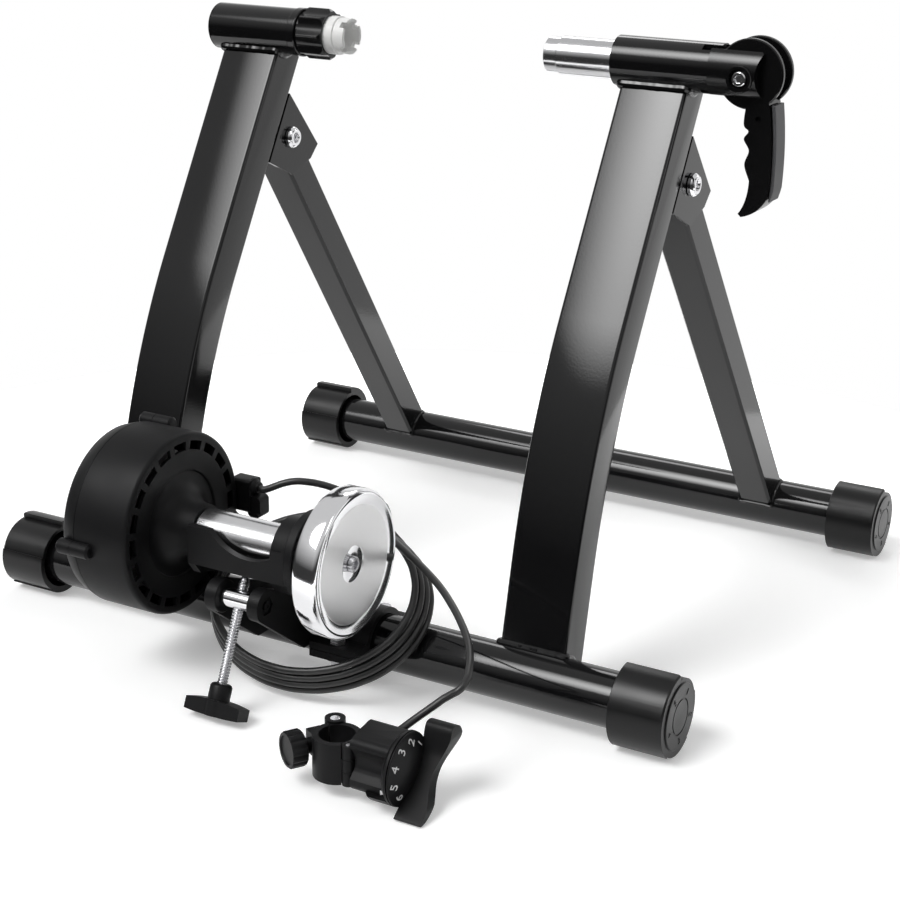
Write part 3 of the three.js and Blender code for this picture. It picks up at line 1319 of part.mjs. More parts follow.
function coilRoute() {
  const points = [];
  const count = coilLoops * coilStepsPerLoop;
  for (let k = 0; k <= count; k += 1) points.push(coilPoint((coilLoops * k) / count));
  const first = points[0].clone().sub(points[1]).setLength(2 * cableRadius).add(points[0]);
  const last = points[count].clone().sub(points[count - 1]).setLength(2 * cableRadius)
    .add(points[count]);
  return [first, ...points, last];
}

function sweep(points, radius, sides) {
  const position = [];
  const index = [];
  points.forEach((point, k) => {
    const before = points[Math.max(k - 1, 0)];
    const after = points[Math.min(k + 1, points.length - 1)];
    const along = after.clone().sub(before).normalize();
    const across = new THREE.Vector3().crossVectors(coilNormal, along).normalize();
    const up = new THREE.Vector3().crossVectors(along, across);
    for (let i = 0; i < sides; i += 1) {
      const turn = (2 * Math.PI * i) / sides;
      const rim = point.clone().addScaledVector(across, radius * Math.cos(turn))
        .addScaledVector(up, radius * Math.sin(turn));
      position.push(rim.x, rim.y, rim.z);
    }
    if (k === 0) return;
    for (let i = 0; i < sides; i += 1) {
      const [a, b] = [(k - 1) * sides + i, (k - 1) * sides + ((i + 1) % sides)];
      index.push(a, b, a + sides, b, b + sides, a + sides);
    }
  });
  for (let i = 1; i < sides - 1; i += 1) {
    const end = (points.length - 1) * sides;
    index.push(0, i + 1, i, end, end + i, end + i + 1);
  }
  const geometry = new THREE.BufferGeometry();
  geometry.setAttribute('position', new THREE.Float32BufferAttribute(position, 3));
  geometry.setIndex(index);
  return geometry;
}

function leastGap(points, radius) {
  const dense = new THREE.CatmullRomCurve3(points).getSpacedPoints(points.length * 6);
  const apart = Math.ceil((8 * radius * dense.length) / new THREE.CatmullRomCurve3(points).getLength());
  let least = Infinity;
  for (let i = 0; i < dense.length; i += 1) {
    for (let j = i + apart; j < dense.length; j += 1) {
      least = Math.min(least, dense[i].distanceTo(dense[j]));
    }
  }
  return least - 2 * radius;
}

function cableStretch(name, points) {
  const path = new THREE.CatmullRomCurve3(points, false, 'catmullrom', 0.5);
  const steps = Math.ceil(path.getLength() / (5 * cableRadius));
  const section = new THREE.Shape(Array.from({ length: cableSides }, (unused, i) => {
    const turn = (2 * Math.PI * i) / cableSides;
    return new THREE.Vector2(cableRadius * Math.cos(turn), cableRadius * Math.sin(turn));
  }));
  const tube = new THREE.ExtrudeGeometry(section, { steps, bevelEnabled: false, extrudePath: path });
  return [piece(name, tube, rubberBlack), path.getLength()];
}

function cable() {
  const group = new THREE.Group();
  const route = coilRoute();
  const straight = 2 * cableRadius;
  const portEnd = new THREE.Vector3(housingFace - portInset + portLength + seat,
    rollerSetback + housingRadius + seat + portDepth / 2, rollerHeight + portHeight / 4);
  const toward = (point, other, distance) => other.clone().sub(point).setLength(distance).add(point);
  const coilIn = toward(route[0], route[1], -seat);
  const coilOut = toward(route.at(-1), route.at(-2), -seat);
  const entry = new THREE.Vector3(...cableEntry)
    .add(new THREE.Vector3(shifterX, shifterY + seat, shifterAxisHeight));
  const [lead, leadLength] = cableStretch('cable_lead', [
    portEnd, portEnd.clone().setX(portEnd.x + straight),
    ...leadRoute.map((point) => new THREE.Vector3(...point)),
    toward(coilIn, route[1], -straight), coilIn]);
  const [tail, tailLength] = cableStretch('cable_tail', [
    coilOut, toward(coilOut, route.at(-2), -straight),
    ...tailRoute.map((point) => new THREE.Vector3(...point)),
    entry.clone().setY(entry.y + straight), entry]);
  group.add(lead, tail, piece('cable_coil', sweep(route, cableRadius, coilSides), rubberBlack));
  const coilLength = route.reduce((sum, point, k) => sum + (k ? point.distanceTo(route[k - 1]) : 0), 0);
  console.log(`cable: ${Math.round(leadLength + coilLength + tailLength)} mm long, `
    + `least gap in the coil ${leastGap(route, cableRadius).toFixed(2)} mm`);
  return group;
}

const trainer = new THREE.Group();
const clampLine = new THREE.Group();
clampLine.position.set(0, clampSetback, clampHeight);
clampLine.add(leftClamp(), rightClamp());
trainer.add(frontFrame(), rearFrame(), clampLine, resistanceUnit(), bracketGroup(), adjuster(),
  shifter());

// The origin is the middle of the footprint on the floor, measured without the cable
const footprint = new THREE.Box3().setFromObject(trainer, true);
const middle = footprint.getCenter(new THREE.Vector3());
trainer.add(cable());
trainer.position.set(-middle.x, -middle.y, -footprint.min.z);

export default trainer;
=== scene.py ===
"""Folding bicycle turbo trainer: bent steel uprights, hinged rear legs, axle clamps, magnetic unit,
coiled cable and remote shifter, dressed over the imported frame.

Sizes are in millimetres from the middle of the front foot bar, on the floor; Solid.piece turns them
into the frame's metres.
"""
import logging
import math
from dataclasses import dataclass
from enum import Enum
from typing import Iterable, Sequence

import bmesh
import bpy
from mathutils import Matrix, Vector


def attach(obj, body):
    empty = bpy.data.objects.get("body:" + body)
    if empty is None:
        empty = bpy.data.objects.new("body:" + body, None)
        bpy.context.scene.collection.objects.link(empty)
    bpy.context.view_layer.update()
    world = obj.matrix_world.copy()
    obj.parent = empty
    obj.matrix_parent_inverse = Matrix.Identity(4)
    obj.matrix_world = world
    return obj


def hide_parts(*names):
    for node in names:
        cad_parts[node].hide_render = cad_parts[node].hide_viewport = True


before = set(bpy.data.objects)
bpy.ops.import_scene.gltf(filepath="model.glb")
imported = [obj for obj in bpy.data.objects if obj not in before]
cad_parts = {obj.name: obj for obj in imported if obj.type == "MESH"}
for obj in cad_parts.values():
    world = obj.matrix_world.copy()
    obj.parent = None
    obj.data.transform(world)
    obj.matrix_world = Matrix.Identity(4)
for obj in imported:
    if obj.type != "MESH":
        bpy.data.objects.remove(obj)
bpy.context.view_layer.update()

LOG = logging.getLogger("trainer")
Pair = tuple[float, float]
Triple = tuple[float, float, float]
MM = 0.001  # one millimetre in metres
ORIGIN = Vector((-3.425, -127.23929, 0.0))  # the front bar's middle on the floor, in the frame
SEAT = 0.3  # gap left between pieces that touch
PLAY = 0.5  # gap left between pieces that move past each other
PAST = 3  # how far a cutter stands past what it cuts
CREASE = math.radians(33)  # edges that turn by more are rounded, or stay sharp
STANDING = Matrix(((0, 0, 1, 0), (1, 0, 0, 0), (0, 1, 0, 0), (0, 0, 0, 1)))  # lettering made to face +X


def metres(point: Sequence[float]) -> Vector:
    """The frame's metres for a point in millimetres."""
    return (Vector(point) + ORIGIN) * MM


class Axis(Enum):
    """The direction that a turned or extruded body follows."""

    X = "X"
    Y = "Y"
    Z = "Z"

    def point(self, along: float, u: float, v: float) -> Triple:
        """A point `along` this axis, with u and v across it.

        Args:
            along: the place on the axis.
            u, v: the places across it.

        Returns:
            The point.
        """
        if self is Axis.X:
            return (along, u, v)
        if self is Axis.Y:
            return (u, along, v)
        return (u, v, along)


# Outlines ---------------------------------


def arc(u: float, v: float, radius: float, start: float, end: float, steps: int = 12) -> list[Pair]:
    """Points along an arc, both ends included, with angles in degrees."""
    turns = [math.radians(start + (end - start) * k / steps) for k in range(steps + 1)]
    return [(u + radius * math.cos(t), v + radius * math.sin(t)) for t in turns]


def circle(u: float, v: float, radius: float, steps: int = 48) -> list[Pair]:
    """Points round a full circle."""
    return arc(u, v, radius, 0, 360, steps)[:-1]


def rounded(u0: float, u1: float, v0: float, v1: float, radius: float, steps: int = 5) -> list[Pair]:
    """A rectangle with round corners.

    Args:
        u0, u1: its sides.
        v0, v1: its bottom and top.
        radius: the corners' radius.
        steps: steps round one corner.

    Returns:
        The outline.
    """
    return (
        arc(u1 - radius, v1 - radius, radius, 0, 90, steps)
        + arc(u0 + radius, v1 - radius, radius, 90, 180, steps)
        + arc(u0 + radius, v0 + radius, radius, 180, 270, steps)
        + arc(u1 - radius, v0 + radius, radius, 270, 360, steps)
    )


def link(u0: float, v0: float, r0: float, u1: float, v1: float, r1: float, steps: int = 24) -> list[Pair]:
    """Outline round two circles and the tangents that join them.

    Args:
        u0, v0, r0: centre and radius of the first circle.
        u1, v1, r1: centre and radius of the second.
        steps: steps round each.

    Returns:
        The outline.
    """
    along = math.degrees(math.atan2(v1 - v0, u1 - u0))
    spread = math.degrees(math.acos((r0 - r1) / math.hypot(u1 - u0, v1 - v0)))
    return arc(u0, v0, r0, along + spread, along - spread + 360, steps) + arc(
        u1, v1, r1, along - spread, along + spread, steps
    )


def hexagon(u: float, v: float, across: float) -> list[Pair]:
    """A regular hexagon, `across` its flats."""
    return circle(u, v, across / math.sqrt(3), 6)


def fluted(radius: float, depth: float, count: int, per: int) -> list[Pair]:
    """A round grip with `count` flutes sunk by `depth`.

    Args:
        radius: the grip's radius.
        depth: the flutes' depth.
        count: how many.
        per: points to each.

    Returns:
        The outline.
    """
    points = []
    for k in range(count * per):
        turn = 2 * math.pi * k / (count * per)
        reach = radius - depth * (0.5 + 0.5 * math.cos(count * turn)) ** 2
        points.append((reach * math.cos(turn), reach * math.sin(turn)))
    return points


def scalloped(radius: float, depth: float, count: int, per: int) -> list[Pair]:
    """A round grip with `count` wide hollows that meet in narrow crests.

    Args:
        radius: the crests' radius.
        depth: the hollows' depth.
        count: how many.
        per: points to each.

    Returns:
        The outline.
    """
    points = []
    for k in range(count * per):
        share = min(1.0, 1.08 * abs(2 * (k % per) / per - 1))
        reach = radius - depth * (1 - share**2)
        turn = 2 * math.pi * k / (count * per)
        points.append((reach * math.cos(turn), reach * math.sin(turn)))
    return points


def bend(start: Pair, pull: Pair, end: Pair, steps: int = 8) -> list[Pair]:
    """Points along a quadratic curve, without its first point.

    Args:
        start: where it starts.
        pull: what it is pulled towards.
        end: where it ends.
        steps: how many points.

    Returns:
        The points.
    """
    out = []
    for k in range(1, steps + 1):
        t = k / steps
        a, b, c = (1 - t) ** 2, 2 * t * (1 - t), t * t
        out.append(tuple(a * s + b * p + c * e for s, p, e in zip(start, pull, end)))
    return out


def smooth(points: Sequence[Sequence[float]], per: int = 4, closed: bool = False) -> list[Vector]:
    """Points on a Catmull-Rom curve through the given ones.

    Args:
        points: the points that the curve passes through.
        per: steps between two of them.
        closed: whether the curve returns to its first point.

    Returns:
        The curve's points, the last one included unless it is closed.
    """
    given = [Vector(p) for p in points]
    count = len(given)
    out = []
    for k in range(count if closed else count - 1):
        if closed:
            a, b, c, d = (given[(k + i) % count] for i in (-1, 0, 1, 2))
        else:
            b, c = given[k], given[k + 1]
            a = given[k - 1] if k else 2 * b - c
            d = given[k + 2] if k + 2 < count else 2 * c - b
        for i in range(per):
            t = i / per
            square, cube = 2 * a - 5 * b + 4 * c - d, 3 * b - a - 3 * c + d
            out.append(0.5 * ((2 * b) + (c - a) * t + square * t**2 + cube * t**3))
    return out if closed else out + [given[-1]]


# Solids ---------------------------------


def baked(obj: bpy.types.Object) -> bpy.types.Mesh:
    """The mesh that an object's modifiers make."""
    depsgraph = bpy.context.evaluated_depsgraph_get()
    return bpy.data.meshes.new_from_object(obj.evaluated_get(depsgraph))


def shown(name: str, data: bpy.types.ID) -> bpy.types.Object:
    """A new object in the scene's collection.

    Args:
        name: the object's name.
        data: its mesh, curve, camera or light.

    Returns:
        The object.
    """
    obj = bpy.data.objects.new(name, data)
    bpy.context.scene.collection.objects.link(obj)
    return obj


def rounding(obj: bpy.types.Object, width: float) -> None:
    """Rounds an object's edges with a modifier.

    Args:
        obj: the object.
        width: how far, in the object's own unit.
    """
    step = obj.modifiers.new("edge", "BEVEL")
    step.width, step.segments = width, 2
    step.limit_method, step.angle_limit = "ANGLE", CREASE
    step.harden_normals = True


class Solid:
    """A closed body in millimetres that can be joined, cut, placed and made into a piece."""

    def __init__(self, mesh: bpy.types.Mesh) -> None:
        """Wraps a closed mesh."""
        self.mesh = mesh

    @classmethod
    def made(cls, points: Iterable[Sequence[float]], faces: Iterable[Sequence[int]]) -> "Solid":
        """A solid from points and faces, with every face pointing out.

        Args:
            points: its corners.
            faces: the corners' numbers, face by face.

        Returns:
            The solid.
        """
        mesh = bpy.data.meshes.new("solid")
        mesh.from_pydata([tuple(p) for p in points], [], [tuple(f) for f in faces])
        shape = bmesh.new()
        shape.from_mesh(mesh)
        bmesh.ops.remove_doubles(shape, verts=shape.verts, dist=1e-4)
        bmesh.ops.recalc_face_normals(shape, faces=shape.faces)
        shape.to_mesh(mesh)
        shape.free()
        return cls(mesh)

    @classmethod
    def lofted(cls, rings: Sequence[Sequence[Sequence[float]]], closed: bool = False) -> "Solid":
        """A skin over rings of equally many points, with flat ends unless it is closed on itself.

        Args:
            rings: the rings in order.
            closed: whether the last one meets the first.

        Returns:
            The solid.
        """
        count = len(rings[0])
        points = [p for ring in rings for p in ring]
        faces = []
        for k in range(len(rings) if closed else len(rings) - 1):
            low, high = k * count, ((k + 1) % len(rings)) * count
            for i in range(count):
                j = (i + 1) % count
                faces.append((low + i, low + j, high + j, high + i))
        if not closed:
            faces += [tuple(range(count)), tuple(range(len(points) - count, len(points)))]
        return cls.made(points, faces)

    @classmethod
    def turned(
        cls, profile: Sequence[Pair], axis: Axis = Axis.X, at: Triple = (0, 0, 0), sides: int = 72
    ) -> "Solid":
        """A round body.

        Args:
            profile: (place, radius) pairs that start and end on the axis, or meet.
            axis: the axis that it is turned on.
            at: where the axis passes.
            sides: number of facets round it.

        Returns:
            The solid.
        """
        loop = profile[0] == profile[-1]
        points: list[Triple] = []
        rings: list[list[int]] = []
        for along, radius in profile[:-1] if loop else profile:
            if radius < 1e-6:
                rings.append([len(points)] * sides)
                points.append(axis.point(along, 0, 0))
                continue
            rings.append(list(range(len(points), len(points) + sides)))
            points += [axis.point(along, u, v) for u, v in circle(0, 0, radius, sides)]
        faces = []
        for low, high in zip(rings, rings[1:] + rings[:1] if loop else rings[1:]):
            for i in range(sides):
                corners = dict.fromkeys((low[i], low[i - 1], high[i - 1], high[i]))
                if len(corners) > 2:
                    faces.append(tuple(corners))
        return cls.made(points, faces).moved(*at)

    @classmethod
    def rod(
        cls, radius: float, start: float, end: float, axis: Axis = Axis.X, at: Triple = (0, 0, 0)
    ) -> "Solid":
        """A plain round cutter or shank."""
        return cls.turned([(start, 0), (start, radius), (end, radius), (end, 0)], axis, at, 48)

    @classmethod
    def prism(
        cls, outline: Sequence[Sequence[float]], start: float, end: float, axis: Axis = Axis.X
    ) -> "Solid":
        """An outline extruded from start to end along an axis."""
        return cls.lofted([[axis.point(place, p[0], p[1]) for p in outline] for place in (start, end)])

    @classmethod
    def block(cls, x0: float, x1: float, y0: float, y1: float, z0: float, z1: float) -> "Solid":
        """A rectangular cutter or web between two corners."""
        return cls.prism([(y0, z0), (y1, z0), (y1, z1), (y0, z1)], x0, x1)

    @classmethod
    def thread(
        cls, radius: float, depth: float, pitch: float, start: float, end: float, sides: int = 32
    ) -> "Solid":
        """A threaded rod along Z: its radius follows a helix of the pitch.

        Args:
            radius: its crests' radius.
            depth: the groove's depth.
            pitch: the rise of one turn.
            start, end: its ends along Z.
            sides: number of facets round it.

        Returns:
            The solid.
        """
        per_turn = 6
        steps = max(2, round((end - start) / pitch * per_turn))
        rings = []
        for k in range(steps + 1):
            z = start + (end - start) * k / steps
            ring = []
            for i in range(sides):
                phase = (z / pitch - i / sides) % 1.0
                fade = min(1.0, (z - start) / pitch, (end - z) / pitch)
                reach = radius - depth * (1 - fade * (1 - abs(2 * phase - 1)))
                turn = 2 * math.pi * i / sides
                ring.append((reach * math.cos(turn), reach * math.sin(turn), z))
            rings.append(ring)
        return cls.lofted(rings)

    @classmethod
    def lettering(cls, words: str, height: float, depth: float) -> "Solid":
        """Raised plain characters in the XY plane, centred, facing +Z.

        Args:
            words: the characters.
            height: their size.
            depth: their thickness.

        Returns:
            The solid.
        """
        curve = bpy.data.curves.new("words", "FONT")
        curve.body = words
        curve.size = height
        curve.extrude = depth / 2
        curve.align_x, curve.align_y = "CENTER", "CENTER"
        obj = shown("words", curve)
        mesh = baked(obj)
        bpy.data.objects.remove(obj)
        return cls(mesh)

    def placed(self, matrix: Matrix) -> "Solid":
        """A copy carried by a matrix, with its faces kept pointing out.

        Args:
            matrix: where it goes.

        Returns:
            The copy.
        """
        mesh = self.mesh.copy()
        mesh.transform(matrix)
        if matrix.determinant() < 0:
            mesh.flip_normals()
        return Solid(mesh)

    def moved(self, x: float = 0, y: float = 0, z: float = 0) -> "Solid":
        """A copy moved by x, y and z."""
        return self.placed(Matrix.Translation((x, y, z)))

    def rotated(self, degrees: float, axis: Axis, about: Triple = (0, 0, 0)) -> "Solid":
        """A copy turned about an axis through a point."""
        turn = Matrix.Rotation(math.radians(degrees), 4, axis.value)
        return self.placed(Matrix.Translation(about) @ turn @ Matrix.Translation(about).inverted())

    def mirrored(self, axis: Axis, at: float = 0) -> "Solid":
        """A copy mirrored in the plane across an axis."""
        normal = Vector(axis.point(1, 0, 0))
        return self.placed(Matrix.Translation(2 * at * normal) @ Matrix.Scale(-1, 4, normal))

    def _combined(self, other: "Solid", operation: str) -> "Solid":
        """The two bodies put through one boolean.

        Args:
            other: the second body.
            operation: the boolean's name.

        Returns:
            The result.
        """
        body, tool = shown("body", self.mesh), shown("tool", other.mesh)
        for solver in ("MANIFOLD", "EXACT"):
            body.modifiers.clear()
            step = body.modifiers.new("cut", "BOOLEAN")
            step.operation, step.object, step.solver = operation, tool, solver
            mesh = baked(body)
            if len(mesh.polygons):
                break
        for obj in (body, tool):
            bpy.data.objects.remove(obj)
        return Solid(mesh)

    def __add__(self, other: "Solid") -> "Solid":
        """Joins two bodies."""
        return self._combined(other, "UNION")

    def __sub__(self, other: "Solid") -> "Solid":
        """Cuts one body out of another."""
        return self._combined(other, "DIFFERENCE")

    def __and__(self, other: "Solid") -> "Solid":
        """Keeps what two bodies share."""
        return self._combined(other, "INTERSECT")

    def beside(self, *others: "Solid") -> "Solid":
        """Several bodies kept in one mesh as they are.

        Args:
            others: the bodies that are added.

        Returns:
            The group.
        """
        shape = bmesh.new()
        for solid in (self, *others):
            shape.from_mesh(solid.mesh)
        mesh = bpy.data.meshes.new("group")
        shape.to_mesh(mesh)
        shape.free()
        return Solid(mesh)

    def piece(
        self, name: str, finish: "Finish", body: str, *nodes: str, edge: float = 0.0
    ) -> bpy.types.Object:
        """Makes the body a piece of the scene.

        Args:
            name: the piece's name.
            finish: its finish.
            body: the moving body that it rides on.
            nodes: the frame's nodes that it stands for.
            edge: how far its edges are rounded, in millimetres.

        Returns:
            The new object.
        """
        mesh = self.mesh.copy()
        mesh.shade_smooth()
        obj = shown(name, mesh)
        if edge:
            rounding(obj, edge)
            obj.data = baked(obj)
            obj.modifiers.clear()
        else:
            mesh.set_sharp_from_angle(angle=CREASE)
        obj.data.transform(Matrix.Scale(MM, 4) @ Matrix.Translation(ORIGIN))
        obj.data.name = name
        obj.data.materials.clear()
        obj.data.materials.append(finish.material())
        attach(obj, body)
        if nodes:
            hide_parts(*nodes)
        LOG.info("%s: %d faces", name, len(obj.data.polygons))
        return obj


def united(first: Solid, *others: Solid) -> Solid:
    """Joins several bodies.

    Args:
        first: the body to start with.
        others: what joins it.

    Returns:
        One body.
    """
    for other in others:
        first = first + other
    return first


def cut(body: Solid, *cutters: Solid) -> Solid:
    """Cuts several bodies out of one.

    Args:
        body: the body.
        cutters: what is cut out of it.

    Returns:
        What is left.
    """
    for cutter in cutters:
        body = body - cutter
    return body


# Finishes ---------------------------------


class Value:
    """A shader socket's value; sums and products on it add their nodes."""

    def __init__(self, shader: "Shader", socket: bpy.types.NodeSocket) -> None:
        """Wraps an output socket."""
        self.shader, self.socket = shader, socket

    def _math(self, operation: str, first: object, second: object) -> "Value":
        """One Math node."""
        return self.shader.node("Math", {"operation": operation}, {0: first, 1: second})

    def __add__(self, other: object) -> "Value":
        """Adds."""
        return self._math("ADD", self, other)

    def __radd__(self, other: object) -> "Value":
        """Adds, reflected."""
        return self._math("ADD", other, self)

    def __sub__(self, other: object) -> "Value":
        """Subtracts."""
        return self._math("SUBTRACT", self, other)

    def __rsub__(self, other: object) -> "Value":
        """Subtracts, reflected."""
        return self._math("SUBTRACT", other, self)

    def __mul__(self, other: object) -> "Value":
        """Multiplies."""
        return self._math("MULTIPLY", self, other)

    def __rmul__(self, other: object) -> "Value":
        """Multiplies, reflected."""
        return self._math("MULTIPLY", other, self)

    def at_least(self, other: object) -> "Value":
        """The larger of two values."""
        return self._math("MAXIMUM", self, other)


class Shader:
    """One node tree and the ways to fill it."""

    def __init__(self, tree: bpy.types.NodeTree, target: str = "ShaderNodeOutputMaterial") -> None:
        """Empties a tree and gives it its output node.

        Args:
            tree: the node tree.
            target: the type of its output node.
        """
        self.tree = tree
        tree.nodes.clear()
        self.target = tree.nodes.new(target)

    def node(
        self, kind: str, settings: dict | None = None, inputs: dict | None = None, output: int | str = 0
    ) -> Value:
        """Adds a node.

        Args:
            kind: the node's type, without ShaderNode.
            settings: its properties, and `stops` for a ramp.
            inputs: values or links of its sockets, by name or number.
            output: the socket that is wanted.

        Returns:
            The wanted output.
        """
        node = self.tree.nodes.new("ShaderNode" + kind)
        for key, value in (settings or {}).items():
            if key == "stops":
                ramp = node.color_ramp
                while len(ramp.elements) < len(value):
                    ramp.elements.new(1.0)
                for stop, (place, shade) in zip(ramp.elements, value):
                    stop.position, stop.color = place, (shade, shade, shade, 1)
            else:
                setattr(node, key, value)
        for key, value in (inputs or {}).items():
            if isinstance(value, Value):
                self.tree.links.new(value.socket, node.inputs[key])
            else:
                node.inputs[key].default_value = value
        return Value(self, node.outputs[output])

    def finish(self, surface: Value) -> None:
        """Links the surface to the tree's output."""
        self.tree.links.new(surface.socket, self.target.inputs["Surface"])

    def place(self) -> Value:
        """The point on the piece, in metres."""
        return self.node("TexCoord", output="Object")

    def noise(self, scale: float, detail: float = 2.0, roughness: float = 0.5) -> Value:
        """Soft noise of so many cells to the metre."""
        inputs = {"Vector": self.place(), "Scale": scale, "Detail": detail, "Roughness": roughness}
        return self.node("TexNoise", {}, inputs)

    def spread(self, value: Value, low: float, high: float, to_low: float, to_high: float) -> Value:
        """Stretches a range of values onto another, and stops at its ends."""
        return self.node("MapRange", {}, {"Value": value, 1: low, 2: high, 3: to_low, 4: to_high})

    def mix(self, factor: Value, first: Triple, second: Triple) -> Value:
        """A colour between two."""
        inputs = {0: factor, 6: (*first, 1), 7: (*second, 1)}
        return self.node("Mix", {"data_type": "RGBA"}, inputs, 2)

    def bump(self, height: Value, distance: float, strength: float = 1.0) -> Value:
        """A normal that follows a height, in metres."""
        inputs = {"Height": height, "Distance": distance, "Strength": strength}
        return self.node("Bump", {}, inputs, "Normal")

    def principled(self, inputs: dict) -> Value:
        """The surface shader."""
        return self.node("BsdfPrincipled", {}, inputs)


@dataclass(frozen=True)
class Finish:
    """A finish: its name, its slot in the record, and its main values."""

    name: str
    slot: str
    dark: Triple
    light: Triple
    roughness: float
    metallic: float = 0.0
    specular: float = 0.5

    def material(self) -> bpy.types.Material:
        """The finish's material, made once.

        Returns:
            The material.
        """
        known = bpy.data.materials.get(self.name)
        if known:
            return known
        material = bpy.data.materials.new(self.name)
        material.use_nodes = True
        shader = Shader(material.node_tree)
        shader.finish(self.surface(shader))
        return material

    def base(self, colour: object, roughness: object, normal: Value | None = None, **more: object) -> dict:
        """The sockets that every finish sets.

        Args:
            colour: the base colour.
            roughness: the roughness.
            normal: the bumped normal, where there is one.
            more: other sockets, with _ for a blank.

        Returns:
            Values by socket name.
        """
        sockets = {
            "Base Color": colour,
            "Roughness": roughness,
            "Metallic": self.metallic,
            "Specular IOR Level": self.specular,
            **{key.replace("_", " "): value for key, value in more.items()},
        }
        if normal:
            sockets["Normal"] = normal
        return sockets

    def surface(self, shader: Shader) -> Value:
        """The finish's surface."""
        return shader.principled(self.base((*self.dark, 1), self.roughness))


@dataclass(frozen=True)
class PowderCoat(Finish):
    """Baked black paint with a faint orange peel."""

    peel: float = 700.0

    def surface(self, shader: Shader) -> Value:
        """Paint that is a little duller and paler in soft patches.

        Args:
            shader: the tree to fill.

        Returns:
            The surface.
        """
        patches = shader.noise(14, 3)
        peel = shader.noise(self.peel, 1)
        colour = shader.mix(patches, self.dark, self.light)
        rough = self.roughness + 0.06 * (patches - 0.5)
        return shader.principled(self.base(colour, rough, shader.bump(peel, 0.00003, 0.5)))


@dataclass(frozen=True)
class Moulded(Finish):
    """Moulded plastic with a fine spark-eroded grain."""

    grain: float = 1800.0
    depth: float = 0.00004

    def surface(self, shader: Shader) -> Value:
        """Grain, and a slight change of gloss where hands rub it.

        Args:
            shader: the tree to fill.

        Returns:
            The surface.
        """
        grain = shader.noise(self.grain, 3, 0.65)
        rubbed = shader.noise(24, 2)
        colour = shader.mix(grain, self.dark, self.light)
        rough = shader.spread(rubbed, 0.35, 0.65, self.roughness - 0.05, self.roughness + 0.05)
        return shader.principled(self.base(colour, rough, shader.bump(grain, self.depth)))


@dataclass(frozen=True)
class Plated(Finish):
    """Bright plated steel with faint polishing lines."""

    lines: Triple = (60.0, 2600.0, 2600.0)

    def surface(self, shader: Shader) -> Value:
        """Plating whose gloss changes along the polishing lines.

        Args:
            shader: the tree to fill.

        Returns:
            The surface.
        """
        inputs = {"Vector": shader.place(), "Scale": self.lines}
        place = shader.node("Mapping", {}, inputs)
        lines = shader.node("TexNoise", {}, {"Vector": place, "Scale": 1.0, "Detail": 2.0})
        colour = shader.mix(lines, self.dark, self.light)
        rough = shader.spread(lines, 0.3, 0.7, self.roughness * 0.7, self.roughness * 1.3)
        return shader.principled(self.base(colour, rough, shader.bump(lines, 0.000004, 0.5)))


@dataclass(frozen=True)
class Faced(Finish):
    """Turned and polished steel: rings about an axis along X."""

    centre: Triple = (0.0, -60.0, 108.3)
    pitch: float = 0.7

    def surface(self, shader: Shader) -> Value:
        """Fine concentric rings.

        Args:
            shader: the tree to fill.

        Returns:
            The surface.
        """
        middle = metres(self.centre)
        across = shader.node("VectorMath", {"operation": "SUBTRACT"}, {0: shader.place(), 1: tuple(middle)})
        flat = shader.node("VectorMath", {"operation": "MULTIPLY"}, {0: across, 1: (0, 1, 1)})
        reach = shader.node("VectorMath", {"operation": "LENGTH"}, {0: flat}, "Value")
        inputs = {"W": reach * (1000 / self.pitch), "Scale": 1.0, "Detail": 3.0}
        rings = shader.node("TexNoise", {"noise_dimensions": "1D"}, inputs)
        colour = shader.mix(rings, self.dark, self.light)
        rough = shader.spread(rings, 0.3, 0.7, self.roughness * 0.92, self.roughness * 1.1)
        return shader.principled(self.base(colour, rough, shader.bump(rings, 0.0000004)))


@dataclass(frozen=True)
class Sleeve(Finish):
    """Extruded cable sleeve with faint marks in its colour, gloss and surface."""

    def surface(self, shader: Shader) -> Value:
        """Glossy vinyl with handling marks.

        Args:
            shader: the tree to fill.

        Returns:
            The surface.
        """
        marks = shader.noise(160, 3)
        colour = shader.mix(marks, self.dark, self.light)
        rough = shader.spread(marks, 0.3, 0.7, self.roughness - 0.05, self.roughness + 0.08)
        return shader.principled(self.base(colour, rough, shader.bump(marks, 0.00003, 0.4)))


@dataclass(frozen=True)
class PaleFloor(Finish):
    """White studio floor that keeps the object's shadow."""

    lift: float = 0.3
    near: float = 0.35
    far: float = 0.62

    def surface(self, shader: Shader) -> Value:
        """Pale paint, lifted to white where it is looked at or mirrored.

        Args:
            shader: the tree to fill.

        Returns:
            The surface.
        """
        speck = shader.noise(3, 2)
        reach = shader.node("VectorMath", {"operation": "LENGTH"}, {0: shader.place()}, "Value")
        lift = shader.spread(reach, self.near, self.far, self.lift, 1.0)
        seen = shader.node("LightPath", output="Is Camera Ray")
        mirrored = shader.node("LightPath", output="Is Glossy Ray")
        through = shader.node("LightPath", output="Is Transmission Ray")
        colour = shader.mix(speck, self.dark, self.light)
        glow = lift * seen.at_least(mirrored).at_least(through)
        sockets = self.base(colour, self.roughness, Emission_Color=glow, Emission_Strength=1.0)
        return shader.principled(sockets)


